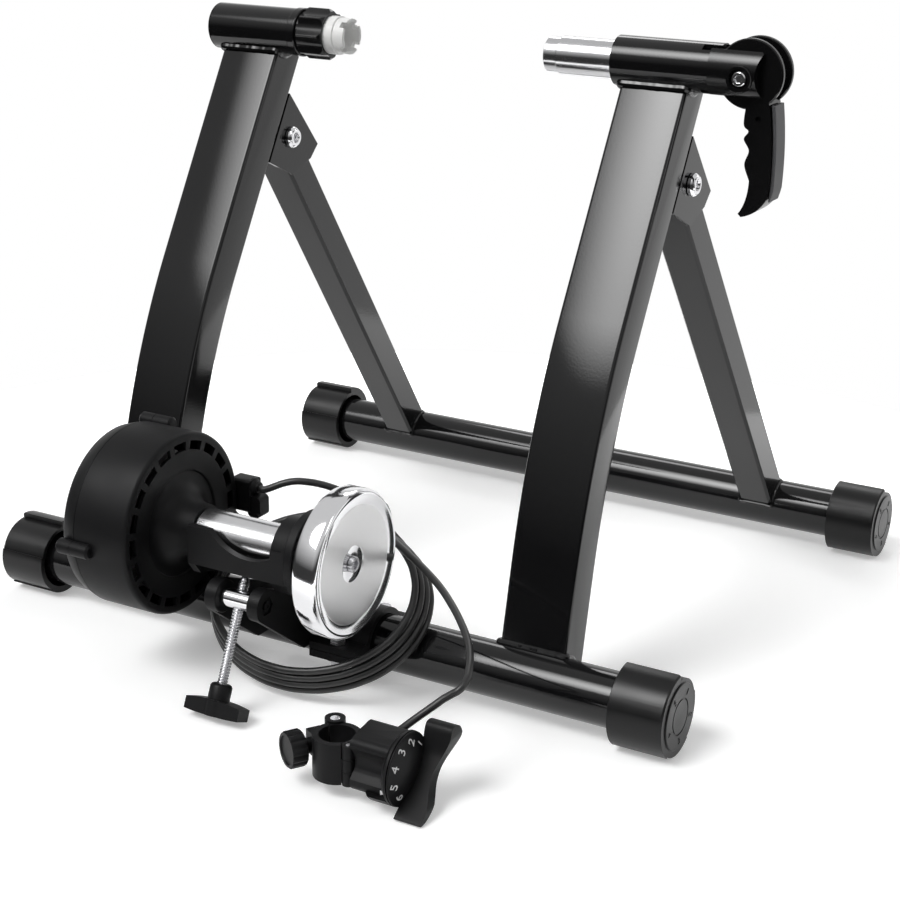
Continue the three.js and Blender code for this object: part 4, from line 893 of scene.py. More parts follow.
PAINT = PowderCoat(
    "black_powder_coat", "black_paint", (0.003, 0.003, 0.0032), (0.0055, 0.0055, 0.006), 0.1, specular=0.42
)
BLACK = Moulded(
    "moulded_black_plastic", "moulded_black", (0.0035, 0.0035, 0.004), (0.008, 0.008, 0.0085), 0.46,
    specular=0.16,
)
GLOSS = Moulded(
    "gloss_black_plastic", "moulded_black", (0.003, 0.003, 0.003), (0.005, 0.005, 0.0055), 0.2,
    specular=0.36, depth=0.00001,
)
CAP = Moulded(
    "cap_plastic", "cap_rubber", (0.004, 0.004, 0.004), (0.007, 0.007, 0.0075), 0.33,
    specular=0.3, grain=1200.0,
)
GRIP = Moulded("grey_grip_plastic", "grey_grip", (0.05, 0.05, 0.053), (0.075, 0.075, 0.08), 0.5)
CHROME = Plated("bright_chrome", "chrome_parts", (0.78, 0.78, 0.8), (0.86, 0.86, 0.87), 0.09, 1.0)
CUP = Moulded(
    "white_nylon", "white_nylon", (0.7, 0.7, 0.7), (0.8, 0.8, 0.8), 0.3,
    specular=0.6, grain=900.0, depth=0.00002,
)
STEEL = Plated("zinc_plated_steel", "steel_parts", (0.5, 0.5, 0.52), (0.66, 0.66, 0.68), 0.28, 1.0)
SATIN = Plated("satin_chrome", "chrome_parts", (0.7, 0.7, 0.72), (0.8, 0.8, 0.81), 0.2, 1.0)
DRAWN = Plated("drawn_chrome", "chrome_parts", (0.6, 0.6, 0.615), (0.7, 0.7, 0.71), 0.16, 1.0)
FACED = Faced("faced_chrome", "chrome_parts", (0.87, 0.87, 0.875), (0.92, 0.92, 0.92), 0.3, 1.0)
ALLOY = Moulded("cast_alloy", "alloy", (0.38, 0.38, 0.39), (0.5, 0.5, 0.51), 0.45, 0.9, grain=900.0)
CABLE = Sleeve(
    "cable_sleeve", "cable_sleeve", (0.003, 0.003, 0.003), (0.0045, 0.0045, 0.0045), 0.12, specular=0.16
)
NUMERALS = Moulded(
    "pad_printed_white", "moulded_black", (0.7, 0.7, 0.7), (0.8, 0.8, 0.8), 0.45, depth=0.00001
)
FLOOR = PaleFloor("studio_floor", "", (0.86, 0.86, 0.86), (0.88, 0.88, 0.88), 0.9, specular=0.0)


def dress_node(name: str, finish: Finish, edge: float = 0.0) -> None:
    """Gives one of the frame's own nodes its finish and soft edges.

    Args:
        name: the node's name.
        finish: its finish.
        edge: how far its edges are rounded, in millimetres.
    """
    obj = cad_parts[name]
    mesh = obj.data
    for attribute in ("custom_normal", "sharp_face", "sharp_edge"):
        if attribute in mesh.attributes:
            mesh.attributes.remove(mesh.attributes[attribute])
    mesh.polygons.foreach_set("use_smooth", [True] * len(mesh.polygons))
    mesh.materials.clear()
    mesh.materials.append(finish.material())
    weld = obj.modifiers.new("weld", "WELD")
    weld.merge_threshold = 0.00001
    flat = obj.modifiers.new("flat", "DECIMATE")
    flat.decimate_type, flat.angle_limit = "DISSOLVE", math.radians(0.6)
    rounding(obj, max(edge, 0.1) * MM)
    LOG.info("%s dressed", name)


# Stage ---------------------------------


@dataclass
class Studio:
    """Camera, soft lights, white world and floor."""

    eye: Triple = (681.0, -1025.6, 591.1)
    yaw: float = -0.51585
    pitch: float = -0.33949
    roll: float = 0.011826
    focal: float = 1915.45
    centre: Pair = (446.99, 450.57)
    size: tuple[int, int] = (900, 903)
    ambient: float = 0.3
    backdrop_round: Pair = (-0.05, 0.4)
    backdrop_up: Pair = (0.3, 0.62)
    backdrop_over: float = 0.12
    room_up: Pair = (0.05, 0.5)
    room_level: Pair = (0.04, 0.65)
    table: float = 0.66
    table_drop: float = 0.0006

    def aim(self) -> Matrix:
        """The camera's axes as a matrix.

        Returns:
            Columns that point right, up and back.
        """
        cp, sp = math.cos(self.pitch), math.sin(self.pitch)
        ahead = Vector((math.sin(self.yaw) * cp, math.cos(self.yaw) * cp, sp))
        right = ahead.cross(Vector((0, 0, 1))).normalized()
        up = right.cross(ahead)
        c, s = math.cos(self.roll), math.sin(self.roll)
        right, up = c * right + s * up, -s * right + c * up
        return Matrix((right, up, -ahead)).transposed()

    def camera(self) -> None:
        """A camera at the photograph's place and angle."""
        data = bpy.data.cameras.new("view")
        long_side = max(self.size)
        data.sensor_width = 36.0
        data.sensor_fit = "AUTO"
        data.lens = self.focal * data.sensor_width / long_side
        data.shift_x = (self.size[0] / 2 - self.centre[0]) / long_side
        data.shift_y = (self.centre[1] - self.size[1] / 2) / long_side
        data.clip_start, data.clip_end = 0.01, 50
        obj = shown("view", data)
        obj.matrix_world = Matrix.Translation(metres(self.eye)) @ self.aim().to_4x4()
        bpy.context.scene.camera = obj

    def softbox(
        self, name: str, at: Triple, look: Triple, size: Pair, power: float, spread: float = 180
    ) -> None:
        """One rectangular soft light, dimmer towards its edges the narrower its spread.

        Args:
            name: its name.
            at, look: where it is and what it faces, in metres.
            size: its width and height.
            power: its power in watts.
            spread: its beam's angle in degrees.
        """
        data = bpy.data.lights.new(name, "AREA")
        data.shape, data.size, data.size_y, data.energy = "RECTANGLE", *size, power
        data.spread = math.radians(spread)
        obj = shown(name, data)
        obj.location = at
        obj.rotation_euler = (Vector(look) - Vector(at)).to_track_quat("-Z", "Y").to_euler()

    def world(self) -> None:
        """White where it is seen, a backdrop in a dim room for mirrors, and a plain level for light."""
        world = bpy.data.worlds.new("studio")
        bpy.context.scene.world = world
        world.use_nodes = True
        shader = Shader(world.node_tree, "ShaderNodeOutputWorld")
        seen = shader.node("LightPath", output="Is Camera Ray")
        through = shader.node("LightPath", output="Is Transmission Ray")
        glossy = shader.node("LightPath", output="Is Glossy Ray")
        way = shader.node("SeparateXYZ", {}, {0: shader.node("TexCoord", output="Generated")}, "Y")
        high = shader.node("SeparateXYZ", {}, {0: shader.node("TexCoord", output="Generated")}, "Z")
        round_it = shader.spread(way, *self.backdrop_round, 0, 1)
        backdrop = round_it * shader.spread(high, *self.backdrop_up, 1, self.backdrop_over)
        room = shader.spread(high, *self.room_up, *self.room_level)
        mirror = backdrop.at_least(room)
        plain = seen.at_least(through) * (1 - self.ambient) + self.ambient
        bright = plain + glossy * (mirror - self.ambient)
        shader.finish(shader.node("Background", {}, {"Color": (1, 1, 1, 1), "Strength": bright}))

    def floor(self) -> None:
        """A round white table that everything stands on, level with the white around it."""
        shape = bmesh.new()
        bmesh.ops.create_circle(shape, cap_ends=True, cap_tris=True, segments=96, radius=self.table)
        mesh = bpy.data.meshes.new("floor")
        shape.to_mesh(mesh)
        shape.free()
        mesh.materials.append(FLOOR.material())
        floor = shown("floor", mesh)
        floor.location.z = -self.table_drop

    def build(self) -> None:
        """Makes all of it."""
        self.camera()
        self.world()
        self.floor()
        self.softbox("front_box", (-0.58, -1.19, 1.88), (0, 0, 0.25), (1.8, 1.7), power=7.5, spread=42)
        self.softbox("back_box", (-0.6, 2.0, 1.9), (0, 0, 0.2), (1.4, 0.6), power=10)
        self.softbox("right_box", (2.0, -0.2, 1.7), (0, 0, 0.2), (0.4, 1.4), power=4.5)
        bpy.context.scene.view_settings.view_transform = "Standard"
        LOG.info("studio ready")


# Cable ---------------------------------


@dataclass
class Cable:
    """The shifter's cable, from the unit's port through four loops to the shifter."""

    radius: float = 2.5
    exit: Triple = (-58.0, 10.8, 114.3)
    lead: tuple[Triple, ...] = ((-34.5, 20, 121), (-11, 32, 117), (12, 41, 104))
    tail: tuple[Triple, ...] = (
        (106.7, -20, 86.9), (150, -60, 75), (170, -98, 67), (160, -108, 57), (149, -118, 47)
    )
    entry: Triple = (142.0, -133.7, 40.5)
    centre: Triple = (7.0, -10.6, 47.0)
    half_width: float = 82.0
    half_height: float = 66.0
    pitch: float = 5.7
    loops: int = 4
    loop_steps: int = 24
    last_share: float = 0.9
    shrink: float = 1.5
    lean: float = 38.0
    start: float = 60.0
    length: float = 2.148

    def loop_point(self, turns: float) -> Vector:
        """The cable's centre after so many turns of the coil.

        Args:
            turns: turns from the coil's start.

        Returns:
            The point.
        """
        share = 1 - (1 - self.last_share) * (turns / self.loops) ** self.shrink
        angle = math.radians(self.start) - 2 * math.pi * turns
        lean = math.radians(self.lean)
        up = Vector((0, math.cos(lean), math.sin(lean)))
        out = Vector((1, 0, 0)).cross(up)
        return (
            Vector(self.centre)
            + Vector((share * self.half_width * math.cos(angle), 0, 0))
            + up * (share * self.half_height * math.sin(angle))
            + out * (self.pitch * turns)
        )

    def route(self) -> list[Vector]:
        """The whole centre line.

        Returns:
            Points from the unit's port to the shifter.
        """
        count = self.loops * self.loop_steps
        coil = [self.loop_point(self.loops * k / count) for k in range(count + 1)]
        straight = 2 * self.radius
        first = coil[0] + (coil[0] - coil[1]).normalized() * straight
        last = coil[-1] + (coil[-1] - coil[-2]).normalized() * straight
        start = Vector(self.exit)
        end = Vector(self.entry)
        into = (first - coil[0]).normalized() * straight
        away = (last - coil[-1]).normalized() * straight
        lead = smooth([start, start + Vector((straight, 0, 0)), *self.lead, first + into, first], 3)
        tail = smooth([last, last + away, *self.tail, end + Vector((0, straight, 0)), end], 3)
        return lead + coil + tail

    def build(self) -> None:
        points = [metres(p) for p in self.route()]
        curve = bpy.data.curves.new("shifter_cable", "CURVE")
        curve.dimensions = "3D"
        curve.bevel_depth = self.radius * MM
        curve.bevel_resolution = 6
        curve.resolution_u = 5
        curve.use_fill_caps = True
        spline = curve.splines.new("BEZIER")
        spline.bezier_points.add(len(points) - 1)
        for knot, point in zip(spline.bezier_points, points):
            knot.co = point
            knot.handle_left_type = knot.handle_right_type = "AUTO"
        curve.materials.append(CABLE.material())
        obj = shown("shifter_cable", curve)
        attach(obj, "front_frame")
        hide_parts("cable_lead", "cable_coil", "cable_tail")
        LOG.info("cable laid")


# Foot bars ---------------------------------


@dataclass
class FootBar:
    """One foot bar with its two stepped caps."""

    place: str
    body: str
    x: float
    y: float
    length: float = 545.0
    radius: float = 19.0
    wall: float = 2.0
    height: float = 26.985
    cap_length: float = 40.0
    cap_radius: float = 25.2
    step: float = 1.0
    land_share: float = 0.9985
    order: tuple[int, ...] = (2, 1, 0, 4, 3)
    face_radius: float = 22.5
    face_rise: float = 1.0
    ring_radius: float = 12.0
    ring_width: float = 1.2
    chamfer: float = 1.2
    end_wall: float = 5.0
    sector: float = 72.0
    socket: Pair = (16.7, 22.2)
    number: float = 6.2

    def tube(self) -> None:
        """The round tube."""
        half = self.length / 2 - self.face_rise - self.end_wall - SEAT
        bore = self.radius - self.wall
        ring = [(-half, bore), (-half, self.radius), (half, self.radius), (half, bore), (-half, bore)]
        Solid.turned(ring, at=(self.x, self.y, self.height), sides=96).piece(
            f"{self.place}_bar", PAINT, self.body, f"{self.place}_foot_tube"
        )

    def cap_body(self) -> Solid:
        """A cap on the lever side, its face at x = 0, about the bar's axis.

        Returns:
            The cap.
        """
        outline = []
        for k, step in enumerate(self.order):
            first = -90 + self.sector * (k - 0.5)
            radius = (self.cap_radius + step * self.step) * self.land_share
            outline += arc(0, 0, radius, first, first + self.sector, 18)
        top = self.cap_radius + max(self.order) * self.step + 0.02
        back = -self.cap_length + self.face_rise
        envelope = Solid.turned([
            (back, 0), (back, top - 0.6), (back + 0.6, top), (-self.chamfer - self.face_rise, top),
            (-self.face_rise, top - self.chamfer), (-self.face_rise, 0)], sides=96)
        body = Solid.prism(outline, back - 1, 0) & envelope
        face = Solid.turned([(-4, 0), (-4, self.face_radius), (-0.5, self.face_radius),
                             (0, self.face_radius - 0.5), (0, 0)], sides=96)
        start, end = -self.cap_length - PAST, -self.end_wall - self.face_rise
        inner, outer = self.socket
        bore = Solid.turned([(start, inner), (start, outer), (end, outer), (end, inner), (start, inner)])
        low, high = self.ring_radius - self.ring_width / 2, self.ring_radius + self.ring_width / 2
        groove = Solid.turned([(-0.6, low), (-0.6, high), (2, high), (2, low), (-0.6, low)], sides=96)
        return cut(body + face, bore, groove)

    def numbers(self) -> Solid:
        """Plain numbers 1 to 5 on the cap's face, one to each height.

        Returns:
            The numbers in one mesh.
        """
        marks = []
        reach = (self.ring_radius + self.face_radius) / 2
        for k, step in enumerate(self.order):
            turn = self.sector * k
            angle = math.radians(turn - 90)
            mark = Solid.lettering(str(step + 1), self.number, 0.5).placed(STANDING).rotated(turn, Axis.X)
            marks.append(mark.moved(0.1, reach * math.cos(angle), reach * math.sin(angle)))
        return marks[0].beside(*marks[1:])

    def build(self) -> None:
        """The bar, both caps and their numbers."""
        self.tube()
        cap, numbers = self.cap_body(), self.numbers()
        for side, turn in (("right", 0), ("left", 180)):
            end = (self.x + (self.length / 2 if side == "right" else -self.length / 2), self.y, self.height)
            rider = f"{self.place}_{side}_cap"
            name = f"{self.place}_{side}_foot_cap"
            cap.rotated(turn, Axis.Z).moved(*end).piece(f"{name}_body", CAP, rider, name, edge=0.35)
            numbers.rotated(turn, Axis.Z).moved(*end).piece(f"{name}_numbers", CAP, rider)


# Frames ---------------------------------


@dataclass
class Uprights:
    """The two bent rectangular tubes, their welds and the hinge ironwork."""

    width: float = 48.4
    depth: float = 30.0
    wall: float = 2.0
    corner: float = 2.5
    inside: float = 279.2
    low_lean: float = 12.5
    high_lean: float = 30.3
    bend_radius: float = 530.0
    straight: float = 69.0
    foot: float = 26.985
    head: float = 400.0
    clamp: Pair = (170.4, 410.0)
    backset: float = 14.7
    bar_radius: float = 19.0
    clamp_radius: float = 17.0
    bend_steps: int = 24
    weld_rise: float = 0.4
    foot_bead: float = 2.7
    head_bead: float = 3.3
    ripples: tuple[Triple, ...] = ((0.007, 1.3, 0), (0.03, 0.37, 1), (0.015, 0.83, 0))

    def line(self) -> list[tuple[Vector, float]]:
        """The centre line in (Y, Z) with its lean at each point, from foot to head.

        Returns:
            Points, each with its lean in radians.
        """
        low, high = math.radians(self.low_lean), math.radians(self.high_lean)
        rise = self.clamp[1] - self.foot
        turn_rise = self.bend_radius * (math.sin(high) - math.sin(low))
        turn_run = self.bend_radius * (math.cos(low) - math.cos(high))
        upper = (rise - turn_rise - self.straight * math.cos(low)) / math.cos(high)
        run = self.straight * math.sin(low) + turn_run + upper * math.sin(high)
        start = Vector((self.clamp[0] + self.backset - run, self.foot))
        knee = start + self.straight * Vector((math.sin(low), math.cos(low)))
        centre = knee + self.bend_radius * Vector((math.cos(low), -math.sin(low)))
        out = [(start, low)]
        for k in range(self.bend_steps + 1):
            lean = low + (high - low) * k / self.bend_steps
            out.append((centre - self.bend_radius * Vector((math.cos(lean), -math.sin(lean))), lean))
        end = out[-1][0] + upper * Vector((math.sin(high), math.cos(high)))
        return out + [(end, high)]

    def tube(self, inset: float, past: float) -> Solid:
        """A swept tube, inset from the outside, cut level at foot and head.

        Args:
            inset: how far inside the outer skin.
            past: how far past foot and head.

        Returns:
            The tube, filled.
        """
        half_w, half_d = self.width / 2 - inset, self.depth / 2 - inset
        section = rounded(-half_w, half_w, -half_d, half_d, max(self.corner - inset, 0.8), 5)
        line = self.line()
        rings = []
        for k, (point, lean) in enumerate(line):
            along = Vector((math.sin(lean), math.cos(lean)))
            across = Vector((math.cos(lean), -math.sin(lean)))
            ring = []
            for x, offset in section:
                spot = point + across * offset
                if k in (0, len(line) - 1):
                    level = self.foot - past if k == 0 else self.head + past
                    spot = spot + along * ((level - spot.y) / along.y)
                ring.append((x, spot.x, spot.y))
            rings.append(ring)
        return Solid.lofted(rings)

    def bead(self, path: Sequence[Sequence[float]], radius: float = 1.7) -> Solid:
        """A weld bead along a path, with the ripples of its pools.

        Args:
            path: where it runs.
            radius: its radius.

        Returns:
            The bead.
        """
        line = smooth(path, 10)
        aslant = Vector((0.31, 0.2, 0.93))  # a direction that no bead follows
        travelled = 0.0
        rings = []
        for k, point in enumerate(line):
            before, after = line[max(k - 1, 0)], line[min(k + 1, len(line) - 1)]
            travelled += (point - line[k - 1]).length if k else 0
            along = (after - before).normalized()
            side = along.cross(aslant).normalized()
            up = along.cross(side)
            end = min(1.0, 0.35 + 0.65 * min(k, len(line) - 1 - k) / 4)
            ripple = sum(size * math.sin(travelled * rate + phase) for size, rate, phase in self.ripples)
            swell = radius * end * (0.95 + ripple)
            rings.append([point + side * (swell * u) + up * (swell * v) for u, v in circle(0, 0, 1, 10)])
        return Solid.lofted(rings)

    def foot_weld(self, centre: float) -> Solid:
        """The bead round the upright's foot on the front bar.

        Args:
            centre: the upright's middle along X.

        Returns:
            The bead.
        """
        half = self.width / 2
        low = math.radians(self.low_lean)
        along = Vector((math.sin(low), math.cos(low)))
        face = self.line()[0][0] - self.depth / 2 * Vector((math.cos(low), -math.sin(low)))
        out = face - Vector((0, self.foot))
        reach = -out.dot(along) + math.sqrt(out.dot(along) ** 2 - out.dot(out) + self.bar_radius**2)
        meet = out + along * reach
        angle = math.degrees(math.atan2(meet.y, meet.x))
        arcs = arc(0, self.foot, self.bar_radius + self.weld_rise, 4, angle, 6)
        left = [(centre - half, y, z) for y, z in arcs]
        right = [(centre + half, y, z) for y, z in reversed(arcs)]
        span = [(centre - half + self.width * k / 8, *arcs[-1]) for k in range(1, 8)]
        return self.bead(left + span + right, self.foot_bead)

    def head_weld(self, centre: float) -> Solid:
        """The bead where the clamp tube lies on the upright's head.

        Args:
            centre: the upright's middle along X.

        Returns:
            The bead.
        """
        half = self.width / 2 - self.weld_rise
        high = math.radians(self.high_lean)
        along = Vector((math.sin(high), math.cos(high)))
        face = self.line()[-1][0] - self.depth / 2 * Vector((math.cos(high), -math.sin(high)))
        out = face - Vector(self.clamp)
        reach = -out.dot(along) - math.sqrt(out.dot(along) ** 2 - out.dot(out) + self.clamp_radius**2)
        meet = out + along * reach
        angle = math.degrees(math.atan2(meet.y, meet.x)) % 360
        arcs = arc(*self.clamp, self.clamp_radius + self.weld_rise, 322, angle, 6)
        left = [(centre - half, y, z) for y, z in arcs]
        right = [(centre + half, y, z) for y, z in reversed(arcs)]
        span = [(centre - half + 2 * half * k / 8, *arcs[-1]) for k in range(1, 8)]
        return self.bead(left + span + right, self.head_bead)

    def build(self) -> None:
        """Both uprights with their welds, and their hinge brackets dressed."""
        body = cut(
            self.tube(0, 0),
            self.tube(self.wall, PAST),
            Solid.rod(self.bar_radius, -40, 40, at=(0, 0, self.foot)),
            Solid.rod(self.clamp_radius, -40, 40, at=(0, *self.clamp)),
        )
        for side, sign in (("left", -1), ("right", 1)):
            centre = sign * (self.inside + self.width) / 2
            name = f"{side}_upright"
            body.moved(centre).piece(f"{name}_tube", PAINT, "front_frame", name, edge=0.3)
            welds = self.foot_weld(centre).beside(self.head_weld(centre))
            welds.piece(f"{name}_welds", PAINT, "front_frame")
            dress_node(f"{side}_hinge_bracket", PAINT, 0.5)


@dataclass
class Hinges:
    """The hinge bolts and nuts that the rear legs swing on."""

    at: Pair = (175.5, 330.0)
    faces: tuple[tuple[str, float], ...] = (("left", -139.6), ("right", 188.0))
    grip: float = 34.7
    shank: float = 4.0
    head: float = 8.0
    height: float = 4.5
    key: float = 5.6
    nut: float = 13.0

    def build(self) -> None:
        """Both bolts, with their sockets, and both nuts."""
        h = self.height
        bolt = Solid.turned([
            (-self.grip - h - 1.2, 0), (-self.grip - h - 1.2, 3.2), (-self.grip - h - 0.4, self.shank),
            (SEAT, self.shank), (SEAT, self.head - 0.3), (SEAT + 0.3, self.head), (h * 0.62, self.head),
            (h * 0.95, 6.9), (h, 6.4), (h + 0.8, 6.1), (h + 0.8, 4.2), (h + 0.3, 3.7), (h * 0.6, 3.2),
            (h * 0.6, 0)])
        socket = Solid.prism(hexagon(0, 0, self.key), h * 0.35, h + PAST)
        nut = Solid.prism(hexagon(0, 0, self.nut), -self.grip - h, -self.grip)
        crown = Solid.turned([(-self.grip - h - 1, 0), (-self.grip - h - 1, 5.4), (-self.grip - h + 1.6, 8),
                              (-self.grip + 1, 8), (-self.grip + 1, 0)])
        nut = (nut & crown) - Solid.rod(self.shank + SEAT, -60, 10)
        for side, face in self.faces:
            spot = (face, *self.at)
            screw = (bolt - socket).moved(*spot)
            screw.piece(f"{side}_bolt", CHROME, "front_frame", f"{side}_hinge_bolt", edge=0.2)
            nut.moved(*spot).piece(f"{side}_nut", STEEL, "front_frame", f"{side}_hinge_nut", edge=0.3)


@dataclass
class RearLegs:
    """The two rear legs and their welds on the rear bar."""

    width: float = 27.5
    depth: float = 26.5
    bolt: Pair = (175.5, 330.0)
    bar: Pair = (395.0, 26.985)
    radius: float = 19.0
    splay: float = 7.0
    weld_rise: float = 0.4
    weld_bead: float = 1.5
    centres: tuple[tuple[str, int, float], ...] = (("left", -1, -156.95), ("right", 1, 170.65))

    def weld(self, x: float) -> Solid:
        """The bead round a leg's foot.

        Args:
            x: the leg's middle along X.

        Returns:
            The bead.
        """
        run = (Vector(self.bolt) - Vector(self.bar)).normalized()
        middle = math.degrees(math.atan2(run.y, run.x))
        spread = math.degrees(math.asin(self.depth / 2 / self.radius))
        half = self.width / 2
        sides = arc(*self.bar, self.radius + self.weld_rise, middle - spread, middle + spread, 5)
        right = [(x + half, y, z) for y, z in sides]
        left = [(x - half, y, z) for y, z in reversed(sides)]
        top = [(x + half - self.width * k / 5, *sides[-1]) for k in range(1, 5)]
        low = [(x - half + self.width * k / 5, *sides[0]) for k in range(1, 6)]
        return Uprights().bead(right + top + left + low, self.weld_bead)

    def build(self) -> None:
        """Dresses the legs and lays their welds."""
        for side, sign, centre in self.centres:
            dress_node(f"{side}_rear_leg", PAINT, 0.3)
            self.weld(centre + sign * self.splay).piece(f"{side}_leg_weld", PAINT, "rear_frame")


# Axle clamps ---------------------------------


@dataclass
class LeftClamp:
    """Clamp tube, end plug, lock knob and notched axle cup."""

    line: Triple = (0.0, 170.4, 410.0)
    start: float = -197.0
    end: float = -127.0
    tube: float = 17.0
    bore: float = 14.2
    collar: float = 17.7
    face: float = -121.0
    knob: float = 18.6
    knob_length: float = 23.0
    hollows: int = 8
    hollow: float = 3.0
    tip: float = -80.8
    nose: float = 12.9
    thread: float = 13.5
    cup_collar: float = 13.9
    notch: Pair = (5.2, 4.2)

    def build(self) -> None:
        """Every piece on the left axle line."""
        start, end, face, tube = self.start, self.end, self.face, self.tube
        profile = [
            (start, self.bore), (start, tube), (end - 0.4, tube), (end, self.collar),
            (face - 0.6, self.collar), (face, self.collar - 0.6), (face, self.bore), (start, self.bore)]
        solid = Solid.turned(profile, at=self.line, sides=96)
        solid.piece("left_tube", PAINT, "front_frame", "left_clamp_tube", edge=0.3)
        plug, inside = start - SEAT, self.bore - SEAT
        profile = [
            (plug - 2, 0), (plug - 2, tube - 3), (plug - 1.6, tube - 2), (plug - 0.6, tube - 0.2),
            (plug, tube), (plug, inside), (plug + 8, inside), (plug + 8, 0)]
        solid = Solid.turned(profile, at=self.line)
        solid.piece("left_plug", BLACK, "front_frame", "left_tube_plug", edge=0.3)
        self.knob_body(face + SEAT)
        self.cup()

    def knob_body(self, first: float) -> None:
        """The scalloped lock knob.

        Args:
            first: where it starts along the axle line.
        """
        last = first + self.knob_length
        grip = scalloped(self.knob, self.hollow, self.hollows, 18)
        shape = Solid.turned([
            (first, 0), (first, 15.9), (first + 1.7, 15.9), (first + 2.0, 17.6), (first + 3.0, 18.7),
            (last - 2.6, 18.7), (last, 16.8), (last, 0)], sides=96)
        bore = Solid.rod(self.cup_collar + PLAY, first - PAST, first + 30)
        knob = (Solid.prism(grip, first, last) & shape) - bore
        knob.moved(*self.line).piece("lock_knob_body", GLOSS, "knob", "lock_knob", edge=0.5)

    def cup(self) -> None:
        """The notched cup on its threaded stem."""
        back = self.tip - 9
        root = back - 9
        stem = Solid.thread(self.thread, 0.7, 2.0, root - 66, root + 0.3, 48).rotated(90, Axis.Y)
        tip, collar = self.tip, self.cup_collar
        head = Solid.turned([
            (root, 0), (root, collar - 0.6), (root + 0.6, collar), (back - 0.6, collar),
            (back, self.nose), (tip - 0.5, self.nose), (tip, self.nose - 0.5), (tip, 10.6),
            (tip - 2, 9.6), (tip - 13, 7), (tip - 14, 0)])
        half, deep = self.notch[0] / 2, self.notch[1]
        notch = Solid.prism(rounded(-30, 30, -half, half, 0.4, 2), tip - deep, tip + PAST)
        for turn in (45, 135):
            head = head - notch.rotated(turn, Axis.X)
        cup = head + stem
        cup.moved(*self.line).piece("cup_body", CUP, "cup", "axle_cup", edge=0.25)


